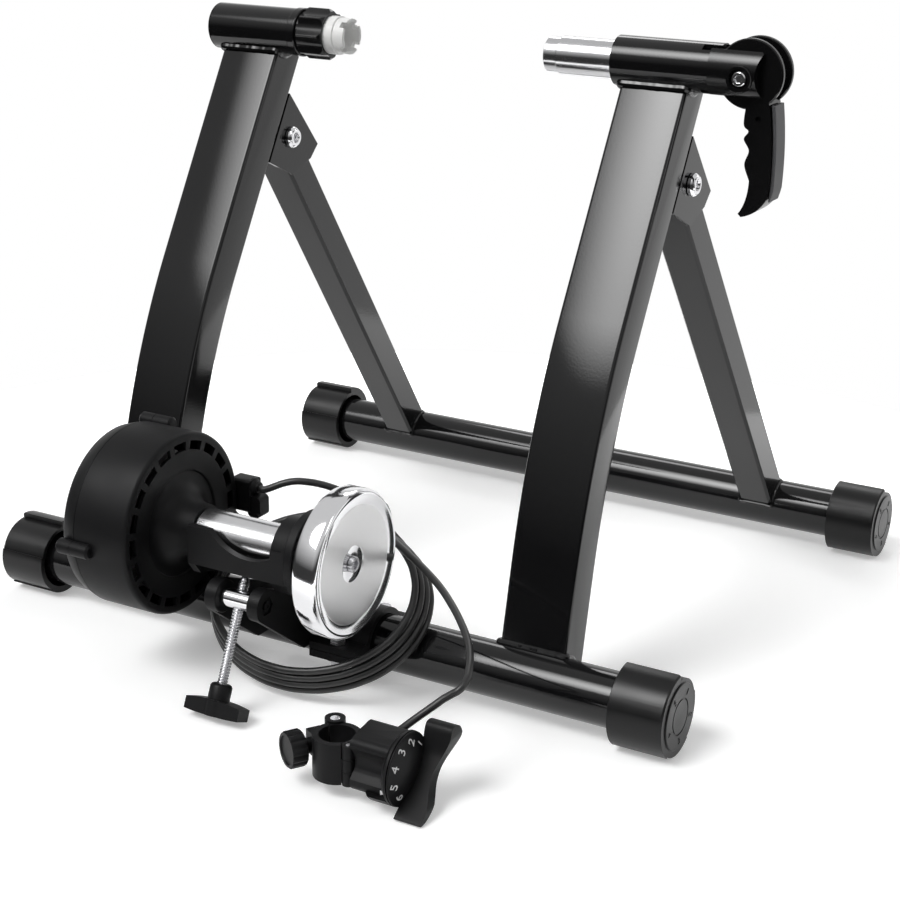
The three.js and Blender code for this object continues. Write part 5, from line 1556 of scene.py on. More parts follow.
@dataclass
class RightClamp:
    """Clamp tube, ram, cam lever with its cheeks and pivot bolt."""

    line: Triple = (0.0, 170.4, 410.0)
    start: float = 133.5
    end: float = 209.5
    tube: float = 17.0
    bore: float = 13.8
    tip: float = 80.8
    ram: float = 13.3
    shoulder: float = 190.0
    pivot: Pair = (227.0, -2.8)
    flange: float = 23.0
    flange_at: Pair = (231.0, -0.3)
    flange_sides: Pair = (6.3, 10.4)
    slots: float = 197.0
    cam: float = 10.0
    throw: float = 4.5
    cheek_out: float = 18.9
    cheek_edge: float = 241.6
    cheek_rise: Pair = (-16.8, 14.6)
    hole: float = 3.7
    grip_top: float = -26.0
    grip_length: float = 66.5
    grip_left: float = 229.0
    grip_width: float = 18.0
    strip: float = 2.4
    strip_steps: int = 24

    def clamp_tube(self) -> None:
        """The tube with the two slots for the lever's flanges."""
        tube = Solid.turned([
            (self.start, self.bore), (self.start, self.tube), (self.end, self.tube), (self.end, self.bore),
            (self.start, self.bore)], sides=96)
        low, high = self.flange_sides[0] - PLAY, self.flange_sides[1] + PLAY
        for sign in (1, -1):
            faces = sorted((sign * low, sign * high))
            tube = tube - Solid.block(self.slots, self.end + PAST, *faces, -20, 20)
        tube.moved(*self.line).piece("right_tube", PAINT, "front_frame", "right_clamp_tube", edge=0.4)

    def ram_body(self) -> None:
        """The chrome ram, its recessed tip and flat tongue."""
        t = self.tip
        body = Solid.turned([
            (self.shoulder, 0), (self.shoulder, self.ram), (t + 10.6, self.ram), (t + 10, self.ram - 0.9),
            (t + 0.8, 12.3), (t, 11.5), (t, 7.0), (t + 0.5, 6.5), (t + 9, 6.5), (t + 9, 0)], sides=96)
        end = self.pivot[0] - self.throw - self.cam - 1.6
        tongue = Solid.block(self.shoulder - 3, end, -5.5, 5.5, -10, 10)
        (body + tongue).moved(*self.line).piece("ram_body", DRAWN, "ram_piece", "ram", edge=0.3)

    def grip_outline(self) -> list[Pair]:
        """The finger grip in (X, Z).

        Returns:
            The outline about the axle line.
        """

        def at(width: float, length: float) -> Pair:
            """A point by its shares of the grip's width and length."""
            return (self.grip_left + width * self.grip_width, self.grip_top - length * self.grip_length)

        shares = ((0, 0.1), (0.2, 0.17), (0.04, 0.25), (0.26, 0.36), (0.12, 0.5), (0.34, 0.66))
        start = (self.grip_left + 0.08 * self.grip_width, self.grip_top + 10)
        fingers = [tuple(p) for p in smooth([start, *(at(*s) for s in shares)], 6)]
        tip = bend(fingers[-1], at(0.32, 0.88), at(-0.02, 1)) + [at(0.1, 1.03)]
        tip += bend(tip[-1], at(0.75, 0.99), at(1.08, 0.82)) + bend(at(1.08, 0.82), at(1.22, 0.5), at(1, 0))
        return fingers + tip + [(self.grip_left + self.grip_width * 0.9, self.grip_top + 10)]

    def lever(self) -> None:
        """Flanges, cam and finger grip, with the grey strip along its back."""
        low, high = self.flange_sides
        plates = []
        for sign in (1, -1):
            y0, y1 = sorted((sign * low, sign * high))
            plates.append(Solid.turned([
                (y0, 0), (y0, self.flange - 0.8), (y0 + 0.8, self.flange), (y1 - 0.8, self.flange),
                (y1, self.flange - 0.8), (y1, 0)], Axis.Y, (self.flange_at[0], 0, self.flange_at[1]), 96))
        x, z = self.pivot
        cam = Solid.rod(self.cam, -low - SEAT, low + SEAT, Axis.Y, (x - self.throw, 0, z))
        grip = Solid.prism(self.grip_outline(), -10.4, 10.4, Axis.Y)
        hole = Solid.rod(self.hole, -20, 20, Axis.Y, (x, 0, z))
        middle = self.grip_left + 0.55 * self.grip_width
        screw = Solid.rod(2, -20, -7.4, Axis.Y, (middle, 0, self.grip_top - 3))
        body = cut(united(*plates, cam, grip), hole, screw)
        body.moved(*self.line).piece("lever_body", GLOSS, "lever", "cam_lever", edge=1.0)
        inner, outer = [], []
        for k in range(self.strip_steps + 1):
            share = -0.1 + 0.96 * k / self.strip_steps
            x = self.grip_left + self.grip_width * (1 + 0.44 * share * (1 - share)) + 2 * SEAT
            z = self.grip_top - share * self.grip_length
            inner.append((x, z))
            outer.append((x + self.strip * min(1, 6 * (1 - share) - 0.5), z))
        strip = Solid.prism(inner + outer[::-1], -8.4, 8.4, Axis.Y)
        strip.moved(*self.line).piece("grip_strip", GRIP, "lever", "lever_spine", edge=0.5)

    def cheek(self, sign: int, name: str) -> None:
        """One side cheek with its lip over the tube and its boss.

        Args:
            sign: -1 for the front one, 1 for the rear one.
            name: the node that it stands for.
        """
        inner = self.flange_sides[1] + PLAY
        low, high = self.cheek_rise
        out, end = self.cheek_out, self.cheek_edge
        edge = [(end - 0.6, high - 1.2), (end - 2, high), (209, high), (209, low), (end, low)]
        plate = Solid.prism([*edge, *bend(edge[-1], (233.5, -1), edge[0], 10)[:-1]], inner, out, Axis.Y)
        plate = plate & Solid.turned([(200, 0), (200, out), (245, out), (245, 0)], sides=160)
        start, stop, bore = 204.3, 212.8, self.tube + SEAT
        lip = [(start, bore), (start, out), (stop, out), (stop, bore), (start, bore)]
        slab = Solid.block(start - PAST, stop + PAST, inner, out + PAST, low, high)
        lip = Solid.turned(lip, sides=96) & slab
        spot = (self.pivot[0], 0, self.pivot[1])
        boss = [(inner + SEAT, 0), (inner + SEAT, 9.2), (out, 9.2), (out + 1.6, 8.4), (out + 1.6, 0)]
        boss = Solid.turned(boss, Axis.Y, spot)
        hole = Solid.rod(self.hole, 0, 30, Axis.Y, spot)
        pocket = Solid.rod(6.6, out - 1.5, 30, Axis.Y, spot)
        body = cut(united(plate, lip, boss), hole, pocket)
        if sign < 0:
            body = body.mirrored(Axis.Y)
        body.moved(*self.line).piece(name + "_body", GLOSS, "front_frame", name, edge=0.8)

    def bolt(self) -> None:
        """The chrome pivot bolt with its socket."""
        end = self.cheek_out - 1.2
        x, z = self.pivot
        body = Solid.turned([
            (-end - 2.6, 0), (-end - 2.6, 4.3), (-end - 2.0, 5), (-end + SEAT, 5), (-end + SEAT, 3.4),
            (end + SEAT, 3.4), (end + SEAT, 5), (end + 2.1, 5), (end + 2.6, 4.4), (end + 2.6, 0)], Axis.Y)
        socket = Solid.prism(hexagon(0, 0, 5), -end - 5, -end - 1.0, Axis.Y)
        spot = (x, self.line[1], self.line[2] + z)
        bolt = (body - socket).moved(*spot)
        bolt.piece("pivot_bolt", CHROME, "front_frame", "lever_pivot_bolt", edge=0.2)

    def build(self) -> None:
        """Every piece on the right axle line."""
        self.clamp_tube()
        self.ram_body()
        self.lever()
        self.cheek(-1, "front_lever_cheek")
        self.cheek(1, "rear_lever_cheek")
        self.bolt()


# Resistance unit ---------------------------------


@dataclass
class ResistanceUnit:
    """Roller, flywheel, magnet housing, yoke and bearings, on the roller's axis."""

    axis: Triple = (0.0, -60.0, 108.3)
    roller: float = 15.0
    shaft: float = 5.0
    wheel: float = 50.2
    wheel_back: float = 49.4
    wheel_face: float = 67.5
    dish: float = 2.0
    shell: float = 63.5
    face: float = -72.3
    seam: float = -114.5
    back: float = -127.0
    back_radius: float = 60.5
    wall: float = 2.6
    flare: float = 32.0
    nose: float = 17.0
    nose_end: float = -52.5
    vents: int = 20
    vent_radius: float = 54.5
    vent_depth: float = 6.2
    vent_share: float = 0.72
    boss: float = 5.2
    boss_reach: float = 64.5
    boss_end: float = -99.5
    yoke_left: float = -51.5
    yoke_right: float = 29.0
    pivot: Pair = (60.0, -47.5)
    dowel: Pair = (-82.0, 74.5)
    rod_end: float = 17.3
    lean: float = 24.0

    def rotor(self) -> None:
        """Shaft, roller and flywheel, and the three plates inside the housing."""
        body = "spinning"
        shaft, roller, bore = self.shaft, self.roller, self.shaft + SEAT
        profile = [(-120, 0), (-120, 4.4), (-119.4, shaft), (57.4, shaft), (58, 4.4), (58, 0)]
        solid = Solid.turned(profile, at=self.axis, sides=48)
        solid.piece("shaft_body", STEEL, body, "drive_shaft")
        skirt = self.yoke_left - SEAT
        profile = [
            (-44.5, bore), (-44.5, 13.4), (skirt, 13.4), (skirt, roller - 0.5), (skirt + 0.5, roller),
            (13.4, roller), (14, roller - 0.6), (14, bore), (-44.5, bore)]
        solid = Solid.turned(profile, at=self.axis, sides=96)
        solid.piece("roller_body", SATIN, body, "roller")
        self.flywheel(body, bore)
        for name in ("rotor_disc", "fixed_magnet_plate", "turning_magnet_plate"):
            dress_node(name, ALLOY, 0.3)

    def flywheel(self, body: str, bore: float) -> None:
        """The plated flywheel, its dished and polished face and its screw.

        Args:
            body: the moving body that they ride on.
            bore: the bore's radius.
        """
        f, b, r = self.wheel_face, self.wheel_back, self.wheel
        seat = f - 4.2
        profile = [
            (b, bore), (b, r - 3), (b + 0.9, r - 0.9), (b + 3, r), (f - 3.2, r), (f - 2.4, r - 0.2),
            (f - 1.2, r - 0.9), (f - 0.3, r - 1.9), (f, r - 3.1), (f - 0.2, r - 4.2), (f - 0.8, r - 5.8),
            (f - 1.4, r - 10), (f - 3.4, 14), (f - 3.6, 12), (seat, 10.6), (seat, bore), (b, bore)]
        solid = Solid.turned(profile, at=self.axis, sides=160)
        solid.piece("flywheel_body", CHROME, body, "flywheel")
        rim = r - 10.2
        dish = [(f - 1.2 - self.dish * (1 - (reach / rim) ** 2), reach)
                for reach in (12.6, 17, 22, 27, 32, 36, rim)]
        profile = [(f - 3.8, 12.2), *dish, (f - 1.6, rim + 0.4), (f - 3.8, 12.2)]
        Solid.turned(profile, at=self.axis, sides=160).piece("flywheel_face", FACED, body)
        edge = seat + SEAT
        profile = [
            (57, 0), (57.3, 3), (edge, 3), (edge, 5.4), (edge + 2.2, 5.4), (edge + 3, 4.6), (edge + 3, 0)]
        socket = Solid.prism(hexagon(0, 0, 5.6), edge + 0.6, edge + 6)
        screw = Solid.turned(profile, sides=48) - socket
        screw.moved(*self.axis).piece("flywheel_screw_body", STEEL, body, "flywheel_screw", edge=0.2)

    def boss_places(self) -> list[Pair]:
        """Centres of the three screw bosses in (Y, Z)."""
        return [arc(0, 0, self.boss_reach, a, a, 1)[0] for a in (184, 64, -56)]

    def front_shell(self) -> None:
        """The vented front shell with its flared hub and inner screw bosses."""
        f, r, wall, steps = self.face, self.shell, self.wall, 12
        dish = f - 2.2
        curve = []
        for k in range(steps + 1):
            turn = k / steps * math.pi / 2
            curve.append((dish + (self.nose_end - dish) * (1 - math.cos(turn)),
                          self.flare - (self.flare - self.nose) * math.sin(turn)))
        seam = self.seam + SEAT
        outer = [
            (seam, r), (f - wall, r), (f - 1.0, r - 0.5), (f - 0.3, r - 1.2), (f, r - 2.4), (f, 38.2),
            (f - 0.5, 37.2), (dish + 0.4, 36.6), (dish, 35.8), *curve]
        inner = [
            (self.nose_end, 14.4), (dish - wall, 14.4), (dish - wall, self.flare), (f - wall, 40),
            (f - wall, r - 5.1), (seam, r - wall)]
        shell = Solid.turned([*outer, *inner, outer[0]], sides=160)
        end = self.boss_end
        profile = [(seam, 0), (seam, self.boss), (end - 1.5, self.boss), (end, self.boss - 1.4), (end, 0)]
        bosses = [Solid.turned(profile, at=(0, y, z), sides=40) for y, z in self.boss_places()]
        well = Solid.rod(r - wall, self.seam - PAST, dish - 2 * wall)
        shell = united(shell, *bosses) - well
        half = 180 * self.vent_share / self.vents
        slot = arc(0, 0, self.vent_radius + self.vent_depth / 2, -half, half, 8) + arc(
            0, 0, self.vent_radius - self.vent_depth / 2, half, -half, 8)
        cutter = Solid.prism(slot, self.face - 9, self.face + PAST)
        ring = cutter.beside(*(cutter.rotated(360 * k / self.vents, Axis.X) for k in range(1, self.vents)))
        vented = (shell - ring).moved(*self.axis)
        vented.piece("front_shell", BLACK, "unit", "housing_front_shell", edge=0.35)

    def back_shell(self) -> None:
        """The back shell with its bosses and screws."""
        b, s, r, wall = self.back, self.seam, self.back_radius, self.wall
        shell = Solid.turned([
            (b, 0), (b, 22), (b + 0.8, 23), (b + 0.8, 40), (b, 41), (b, r - 3), (b + 0.8, r - 1),
            (b + 2, r), (s - 1, self.shell), (s, self.shell), (s, self.shell - wall), (b + 5.6, r - wall),
            (b + wall, r - 5.6), (b + wall, 0)], sides=160)
        places = self.boss_places()
        profile = [(b + 1, 0), (b + 1, self.boss - 1), (b + 2, self.boss), (s, self.boss), (s, 0)]
        bosses = [Solid.turned(profile, at=(0, y, z), sides=40) for y, z in places]
        well = Solid.rod(self.shell - wall - 3, b + 5.6, s + PAST)
        holes = [Solid.rod(2.6, b - PAST, b + 4, at=(0, y, z)) for y, z in places]
        cut(united(shell, *bosses), well, *holes).moved(*self.axis).piece(
            "back_shell", BLACK, "unit", "housing_back_shell", edge=0.35)
        screw = Solid.rod(2.4, b + 2.4, b + 4.4) - Solid.block(b, b + 3.4, -1.7, 1.7, -0.4, 0.4)
        screws = [screw.moved(0, y, z) for y, z in places]
        group = screws[0].beside(*screws[1:]).moved(*self.axis)
        group.piece("housing_screws", STEEL, "unit", edge=0.15)

    def port(self) -> None:
        """The cable port with its tapered strain relief."""
        y0 = self.shell + SEAT
        block = Solid.prism(rounded(y0, y0 + 14, -12, 12, 2.5), -78.3, -62.3)
        relief = Solid.turned([
            (-64, 0), (-64, 6.6), (-62.3, 6.4), (-61.6, 5.4), (-60.8, 5.0), (-60.2, 4.5), (-59.6, 4.6),
            (-59, 4.1), (-58.3, 4.0), (-58.3, 0)], at=(0, y0 + 7, 6), sides=48)
        lug = Solid.prism(rounded(-65.5, -54.5, -15, 0.5, 3.5), y0 + 1.5, y0 + 12.5, Axis.Y)
        eye = Solid.rod(1.6, y0 - 1, y0 + 5, Axis.Y, (-56, 0, -12.5))
        whole = united(block, relief, lug, eye).moved(*self.axis)
        whole.piece("port_body", BLACK, "unit", "cable_port", edge=0.5)

    def yoke(self) -> None:
        """The yoke that carries the roller and tilts on the pivot bolt."""
        left, right = self.yoke_left, self.yoke_right

        def side(start: float, end: float, top: float) -> Solid:
            """One cheek with its chin, no higher than top.

            Args:
                start, end: its faces along X.
                top: its highest point.

            Returns:
                The cheek.
            """
            arm = Solid.prism(link(0, 0, 23, *self.pivot, 9, 32), start, end)
            chin = Solid.prism([(-23, 7), (-23, -16), (-17, -24), (3.9, -30), (9.9, 0)], start, end)
            return (arm + chin) - Solid.block(start - PAST, end + PAST, -40, 40, top, 40)

        front = Solid.block(left + SEAT, right - SEAT, -23, -18, -16, 11)
        scoop = Solid.rod(38, -30, -10, Axis.Y, (left + (right - left) * 0.6, 0, 34))
        lean = math.radians(self.lean)
        y = self.dowel[0] + self.rod_end * math.sin(lean) - self.axis[1]
        z = self.dowel[1] + self.rod_end * math.cos(lean) - self.axis[2]
        pad = Solid.block(left + SEAT, right - SEAT, -7.5, 22.5, 0, 5)
        pad = pad.rotated(-self.lean, Axis.X).moved(0, y, z)
        body = united(side(left, left + 6, 7), side(right - 14, right, 30), front - scoop, pad)
        body = cut(
            body,
            Solid.rod(self.shaft + PLAY, left - PAST, right + PAST),
            Solid.rod(self.roller + PLAY, left - PAST, left + 9),
            Solid.rod(13.3, right - 8.3, right + PAST),
            Solid.rod(4.8, left - PAST, right + PAST, at=(0, *self.pivot)),
        )
        body.moved(*self.axis).piece("yoke_body", BLACK, "unit", "yoke", edge=0.7)
        Solid.turned([
            (right + SEAT, 5.5), (right + SEAT, 29.4), (right + 0.9, 30), (right + 6.4, 30),
            (right + 7, 29.4), (right + 7, 27), (47, 24), (47, 14), (45.5, 13), (45.5, 5.5),
            (right + SEAT, 5.5)],
            at=self.axis, sides=120).piece("collar_body", BLACK, "unit", "bearing_collar", edge=0.3)
        dress_node("left_bearing", STEEL, 0.3)
        dress_node("right_bearing", STEEL, 0.3)

    def build(self) -> None:
        """Every piece of the unit."""
        self.rotor()
        self.front_shell()
        self.back_shell()
        self.port()
        self.yoke()


@dataclass
class UnitBracket:
    """The bracket on the front bar, its strap and bolts, and the tilt adjuster."""

    height: float = 26.985
    bar: float = 19.0
    saddle: float = 4.3
    left: float = -31.0
    cheek: float = 4.5
    right_cheek: float = 7.0
    right: float = 52.0
    ear: Pair = (-82.0, 74.5)
    ear_radius: float = 11.5
    ear_width: float = 9.0
    tilt: Pair = (0.0, 60.8)
    lug_start: float = 14.0
    lug_reach: float = 37.0
    lug: float = 5.5
    bolt_x: float = 33.0
    bolt_y: float = 30.15
    lean: float = 24.0
    yoke_left: float = -51.5
    yoke_right: float = 29.0
    wing_reach: float = 21.5

    def bolt_holes(self) -> list[Solid]:
        """Cutters for the strap's two bolts."""
        return [Solid.rod(3.3, 0, 60, Axis.Z, (self.bolt_x, y, 0)) for y in (-self.bolt_y, self.bolt_y)]

    def bracket(self) -> None:
        """Cheeks, ears, saddle and lug plate."""
        outer = self.bar + SEAT + self.saddle
        end = self.right_cheek + self.cheek
        parts = []
        arm = link(0, self.height, outer, *self.ear, self.ear_radius, 32)
        post = link(0, self.height, outer, *self.tilt, 10, 32)
        for start, stop in ((self.left, self.left + self.cheek), (self.right_cheek, end)):
            parts += [Solid.prism(arm, start, stop), Solid.prism(post, start, stop)]
        saddle = [(self.left, 0), (self.left, outer), (self.right, outer), (self.right, 0)]
        parts.append(Solid.turned(saddle, at=(0, 0, self.height), sides=96))
        parts.append(Solid.block(self.lug_start, self.right, -self.lug_reach, self.lug_reach, self.height,
                                 self.height + self.lug))
        ears = ((self.left, self.left + self.ear_width), (end - self.ear_width, end))
        parts += [Solid.turned([(a, 0), (a, 10.9), (a + 0.6, 11.5), (b - 0.6, 11.5), (b, 10.9), (b, 0)],
                               at=(0, *self.ear), sides=72) for a, b in ears]
        cutters = [
            Solid.rod(self.bar + SEAT, self.left - PAST, self.right + PAST, at=(0, 0, self.height)),
            Solid.block(self.left - PAST, self.right + PAST, -60, 60, -5, self.height + SEAT),
            Solid.rod(4.3, self.left + 2.25, end - 2.25, at=(0, *self.ear)),
            Solid.prism(hexagon(*self.ear, 11.5), end - 1.5, end + PAST),
            Solid.rod(4.8, self.left - PAST, end + PAST, at=(0, *self.tilt)),
            *self.bolt_holes(),
        ]
        cut(united(*parts), *cutters).piece("bracket_body", BLACK, "front_frame", "unit_bracket", edge=0.6)
        ring = Solid.rod(3.2, end - 1.2, end + 0.2, at=(0, *self.ear)) - Solid.prism(
            hexagon(*self.ear, 3.4), end - 0.6, end + 2)
        ring.piece("ear_screw_head", BLACK, "front_frame", edge=0.2)

    def strap(self) -> None:
        """The lower half of the bar clamp and its two bolts."""
        outer = self.bar + SEAT + self.saddle
        start, end, high = self.lug_start, self.right, self.height
        profile = [(start, 0), (start, outer), (end, outer), (end, 0)]
        ring = Solid.turned(profile, at=(0, 0, high), sides=96)
        lug = Solid.block(start, end, -self.lug_reach, self.lug_reach, high - self.lug, high)
        body = cut(ring + lug, Solid.rod(self.bar + SEAT, 0, 60, at=(0, 0, high)),
                   Solid.block(0, 60, -60, 60, high - SEAT, 90), *self.bolt_holes())
        body.piece("strap_body", BLACK, "front_frame", "bar_clamp_strap", edge=0.6)
        under, top = high - self.lug - SEAT, high + self.lug
        for name, y in (("front_clamp_bolt", -self.bolt_y), ("rear_clamp_bolt", self.bolt_y)):
            shank = Solid.thread(3, 0.35, 1.0, under - 5, top + 4, 24)
            crown = [(top + SEAT, 0), (top + SEAT, 5.9), (top + 4, 5.9), (top + 5, 4.7), (top + 5, 0)]
            head = Solid.prism(hexagon(0, 0, 10), top + SEAT, top + 5, Axis.Z) & Solid.turned(crown, Axis.Z)
            nut = Solid.prism(hexagon(0, 0, 10), under - 4.9, under, Axis.Z)
            bolt = united(shank, head, nut).moved(self.bolt_x, y, 0)
            bolt.piece(f"{name}_body", STEEL, "front_frame", name, edge=0.25)

    def tilt_bolt(self) -> None:
        """The bolt that the yoke tilts on."""
        left, right = self.yoke_left - SEAT, self.yoke_right + SEAT
        shank = Solid.rod(4.5, left - 6, right + SEAT)
        head = Solid.prism(hexagon(0, 0, 16), right, right + 6) & Solid.turned(
            [(right - 1, 0), (right - 1, 9.4), (right + 5, 9.4), (right + 6, 8), (right + 6, 0)])
        nut = Solid.prism(hexagon(0, 0, 16), left - 6, left) & Solid.turned(
            [(left - 6, 0), (left - 6, 8), (left - 5, 9.4), (left + 1, 9.4), (left + 1, 0)])
        bolt = united(shank, head, nut).moved(0, *self.tilt)
        bolt.piece("tilt_bolt", STEEL, "front_frame", "tilt_pivot_bolt", edge=0.25)

    def leaned(self, solid: Solid) -> Solid:
        """Puts a piece drawn about the dowel on the leaning adjuster's line."""
        centre = (self.left + self.right_cheek + self.cheek) / 2
        return solid.rotated(-self.lean, Axis.X).moved(centre, *self.ear)

    def adjuster(self) -> None:
        """Cross dowel, threaded rod and wing knob."""
        half = (self.right_cheek + self.cheek - self.left) / 2 - self.ear_width
        trunnion = half + self.ear_width - self.cheek
        dowel = Solid.turned([
            (-trunnion, 0), (-trunnion, 4), (-half + PLAY, 4), (-half + PLAY, 6), (-half + 1, 6.5),
            (half - 1, 6.5), (half - PLAY, 6), (half - PLAY, 4), (trunnion, 4), (trunnion, 0)])
        dowel = dowel - Solid.rod(3.9, -10, 10, Axis.Z)
        self.leaned(dowel).piece("dowel_body", CHROME, "dowel", "cross_dowel", edge=0.15)
        rod = Solid.thread(3.7, 0.8, 2.0, -72.9, 13, 32)
        point = Solid.turned([(12, 0), (12, 3.0), (13, 3.2), (17, 1.6), (17, 0)], Axis.Z, sides=32)
        self.leaned(rod + point).piece("rod_body", STEEL, "rod", "adjuster_rod")
        tip = self.wing_reach
        belly = bend((-tip, -4.5), (0, -6.3), (tip, -4.5), 16)
        crest = bend((tip, 3.6), (0, 7.5), (-tip, 3.6), 16)
        outline = [(-tip, -4.5), *belly, (tip, 3.6), *crest[:-1], (-tip, 3.6)]
        near = [(-tip, -6.5), (-12, -7.2), *arc(0, 0, 8.2, 235, 305, 6), (12, -7.2), (tip, -6.5)]
        waist = near + [(tip, 6.5), (12, 7.2), *arc(0, 0, 8.2, 55, 125, 6), (-12, 7.2), (-tip, 6.5)]
        wing = Solid.prism(outline, -9, 9, Axis.Y) & Solid.prism(waist, -12, 12, Axis.Z)
        hub = Solid.turned([(0, 0), (0, 7.5), (14.5, 7.5), (16, 6.6), (16.5, 5.6), (16.5, 0)], Axis.Z)
        bore = Solid.rod(3.9, -0.3, 20, Axis.Z)
        knob = (wing + hub) - bore
        self.leaned(knob.moved(0, 0, -73)).piece("knob_body", BLACK, "adjuster", "adjuster_knob", edge=1.4)

    def build(self) -> None:
        """Every piece of the bracket and adjuster."""
        self.bracket()
        self.strap()
        self.tilt_bolt()
        self.adjuster()


# Remote shifter ---------------------------------


@dataclass
class Shifter:
    """The handlebar shifter: body, clamp jaw, thumb screw, numbered dial and lever."""

    axis: Triple = (126.0, -147.0, 26.5)
    length: float = 30.5
    front: float = -14.5
    back: float = 13.0
    bottom: float = -25.5
    top: float = 21.0
    rib: float = 5.5
    dial: float = 23.4
    crown: float = 11.0
    dial_depth: float = 4.2
    numbers_at: float = 17.6
    numbers_from: float = 43.0
    numbers_apart: float = 37.5
    numbers_turned: Pair = (45.0, 5.5)
    settings: int = 6
    number: float = 9.2
    wing: float = 51.0
    wing_length: float = 62.0
    clamp: Pair = (-17.5, -1.0)
    turn: float = 58.0
    bore: float = 11.5
    wall: float = 4.0
    low: float = -16.0
    high: float = 11.0
    screw: float = 17.5

    @property
    def middle(self) -> float:
        """Halfway up the clamp."""
        return (self.low + self.high) / 2

    @property
    def third(self) -> float:
        """A third of the clamp's height: the hinge has three knuckles."""
        return (self.high - self.low) / 3

    def in_clamp(self, solid: Solid) -> Solid:
        """Turns a piece drawn about the clamp's bore into place."""
        return solid.rotated(self.turn, Axis.Z).moved(*self.clamp, 0)

    def band(self, start: float, end: float) -> Solid:
        """Half of the clamp's ring."""
        outline = arc(0, 0, self.bore + self.wall, start, end, 24) + arc(0, 0, self.bore, end, start, 24)
        return Solid.prism(outline, self.low, self.high, Axis.Z)

    def pin(self, radius: float, start: float, end: float) -> Solid:
        """A round piece on the clamp's hinge line."""
        return Solid.rod(radius, start, end, Axis.Z, (0, -self.bore - self.wall - SEAT, 0))

    def section(self) -> list[Pair]:
        """The body's outline in (Y, Z).

        Returns:
            The outline about the dial's axis.
        """
        f, b, lo, hi, r = self.front, self.back, self.bottom, self.top, self.rib
        out = [(b, lo + r), (b, hi - r), *bend((b, hi - r), (b, hi), (b - r, hi)), (f + 2 * r, hi - r / 4)]
        out += arc(f + r, hi - 1.5 * r, r, 90, 180, 8)
        out += bend(out[-1], (f + 2.2 * r, 0), (f, lo + 3 * r), 10)
        out += arc(f + r, lo + 2.5 * r, r, 180, 252, 8)
        return out + bend(out[-1], (0, lo), (b, lo + r), 10)[:-1]

    def body(self) -> None:
        """The body with the fixed half of its clamp."""
        seat, rim = self.length, self.dial + 0.2
        collar = [(seat - 4.4, 0), (seat - 4.4, rim - 2.7), (seat - 1.6, rim), (seat, rim), (seat, 0)]
        lobe = [(11, 0), (11, rim - 3.5), (15, rim), (seat - 2, rim), (seat - 2, 0)]
        lobe = Solid.turned(lobe, sides=120) & Solid.block(5, 35, -24, 20, -30, -14)
        block = united(Solid.prism(self.section(), 0, seat), Solid.turned(collar, sides=120), lobe)
        half = self.bore / 2
        stem = Solid.block(self.clamp[0] + self.bore, 3.3, -half, half, self.low + 4, self.high - 4)
        eye = Solid.rod(6.6, self.high - 16.5, self.high + 1.5, Axis.Z, (6.9, self.screw, 0))
        grip = united(self.band(-87.7, 87.7), self.pin(4, self.low, self.high), eye)
        cutters = [
            Solid.rod(self.bore, self.low - PAST, self.high + PAST, Axis.Z),
            self.pin(4.5, self.low + self.third, self.high - self.third),
            self.pin(1.9, self.low - PAST, self.high + PAST),
            Solid.rod(3.4, -3, 2.7, Axis.X, (0, self.screw, self.middle)),
            Solid.rod(3.7, self.high - PAST, self.high + 5, Axis.Z, (6.9, self.screw, 0)),
        ]
        whole = united(block, stem, self.in_clamp(grip))
        whole = cut(whole, *(self.in_clamp(c) for c in cutters))
        whole.moved(*self.axis).piece("shifter_case", BLACK, "front_frame", "shifter_body", edge=0.8)
        pins = self.in_clamp(self.pin(1.6, self.low, self.high)).moved(*self.axis)
        pins.piece("hinge_pin_body", STEEL, "front_frame", "clamp_hinge_pin", edge=0.2)
        eye_pin = Solid.rod(3.4, self.high - 2.7, self.high + 1.2, Axis.Z, (6.9, self.screw, 0))
        eye_pin = self.in_clamp(eye_pin).moved(*self.axis)
        eye_pin.piece("eye_pin_body", CHROME, "front_frame", "clamp_eye_pin", edge=0.4)

    def jaw(self) -> None:
        """The hinged jaw with its tab."""
        middle, low, high = self.middle, self.low + self.third + SEAT, self.high - self.third - SEAT
        tab = Solid.block(-9.5, -SEAT, self.bore + 2, self.screw + 8, middle - 7.5, middle + 7.5)
        whole = self.band(92.3, 267.7) + tab
        whole = cut(whole, self.pin(4.5, self.low - PAST, low), self.pin(4.5, high, self.high + PAST))
        whole = cut(whole + self.pin(4, low, high),
                    Solid.rod(self.bore, self.low - PAST, self.high + PAST, Axis.Z),
                    self.pin(1.9, self.low - PAST, self.high + PAST),
                    Solid.rod(3.7, -19, 3, Axis.X, (0, self.screw, middle)))
        self.in_clamp(whole).moved(*self.axis).piece("jaw_body", BLACK, "jaw", "shifter_jaw", edge=0.6)

    def thumb_screw(self) -> None:
        """The fluted thumb screw."""
        face, end = -26.5, -16.0
        grip = 11.9
        profile = [
            (face, 0), (face, grip - 0.9), (face + 0.9, grip), (end - 0.9, grip), (end, grip - 0.9),
            (end, 0)]
        knob = Solid.prism(fluted(grip, 1.0, 14, 8), face, end) & Solid.turned(profile, sides=112)
        neck = Solid.rod(5, end - SEAT, -10)
        shank = Solid.rod(2.4, -10.3, 2.4)
        dish = Solid.turned([(face - 3, 0), (face - 3, 9.8), (face, 9.5), (face + 1, 9), (face + 1, 0)])
        whole = united(knob, neck, shank) - dish
        self.in_clamp(whole.moved(0, self.screw, self.middle)).moved(*self.axis).piece(
            "thumb_screw_body", BLACK, "jaw_screw", "clamp_thumb_screw", edge=0.35)

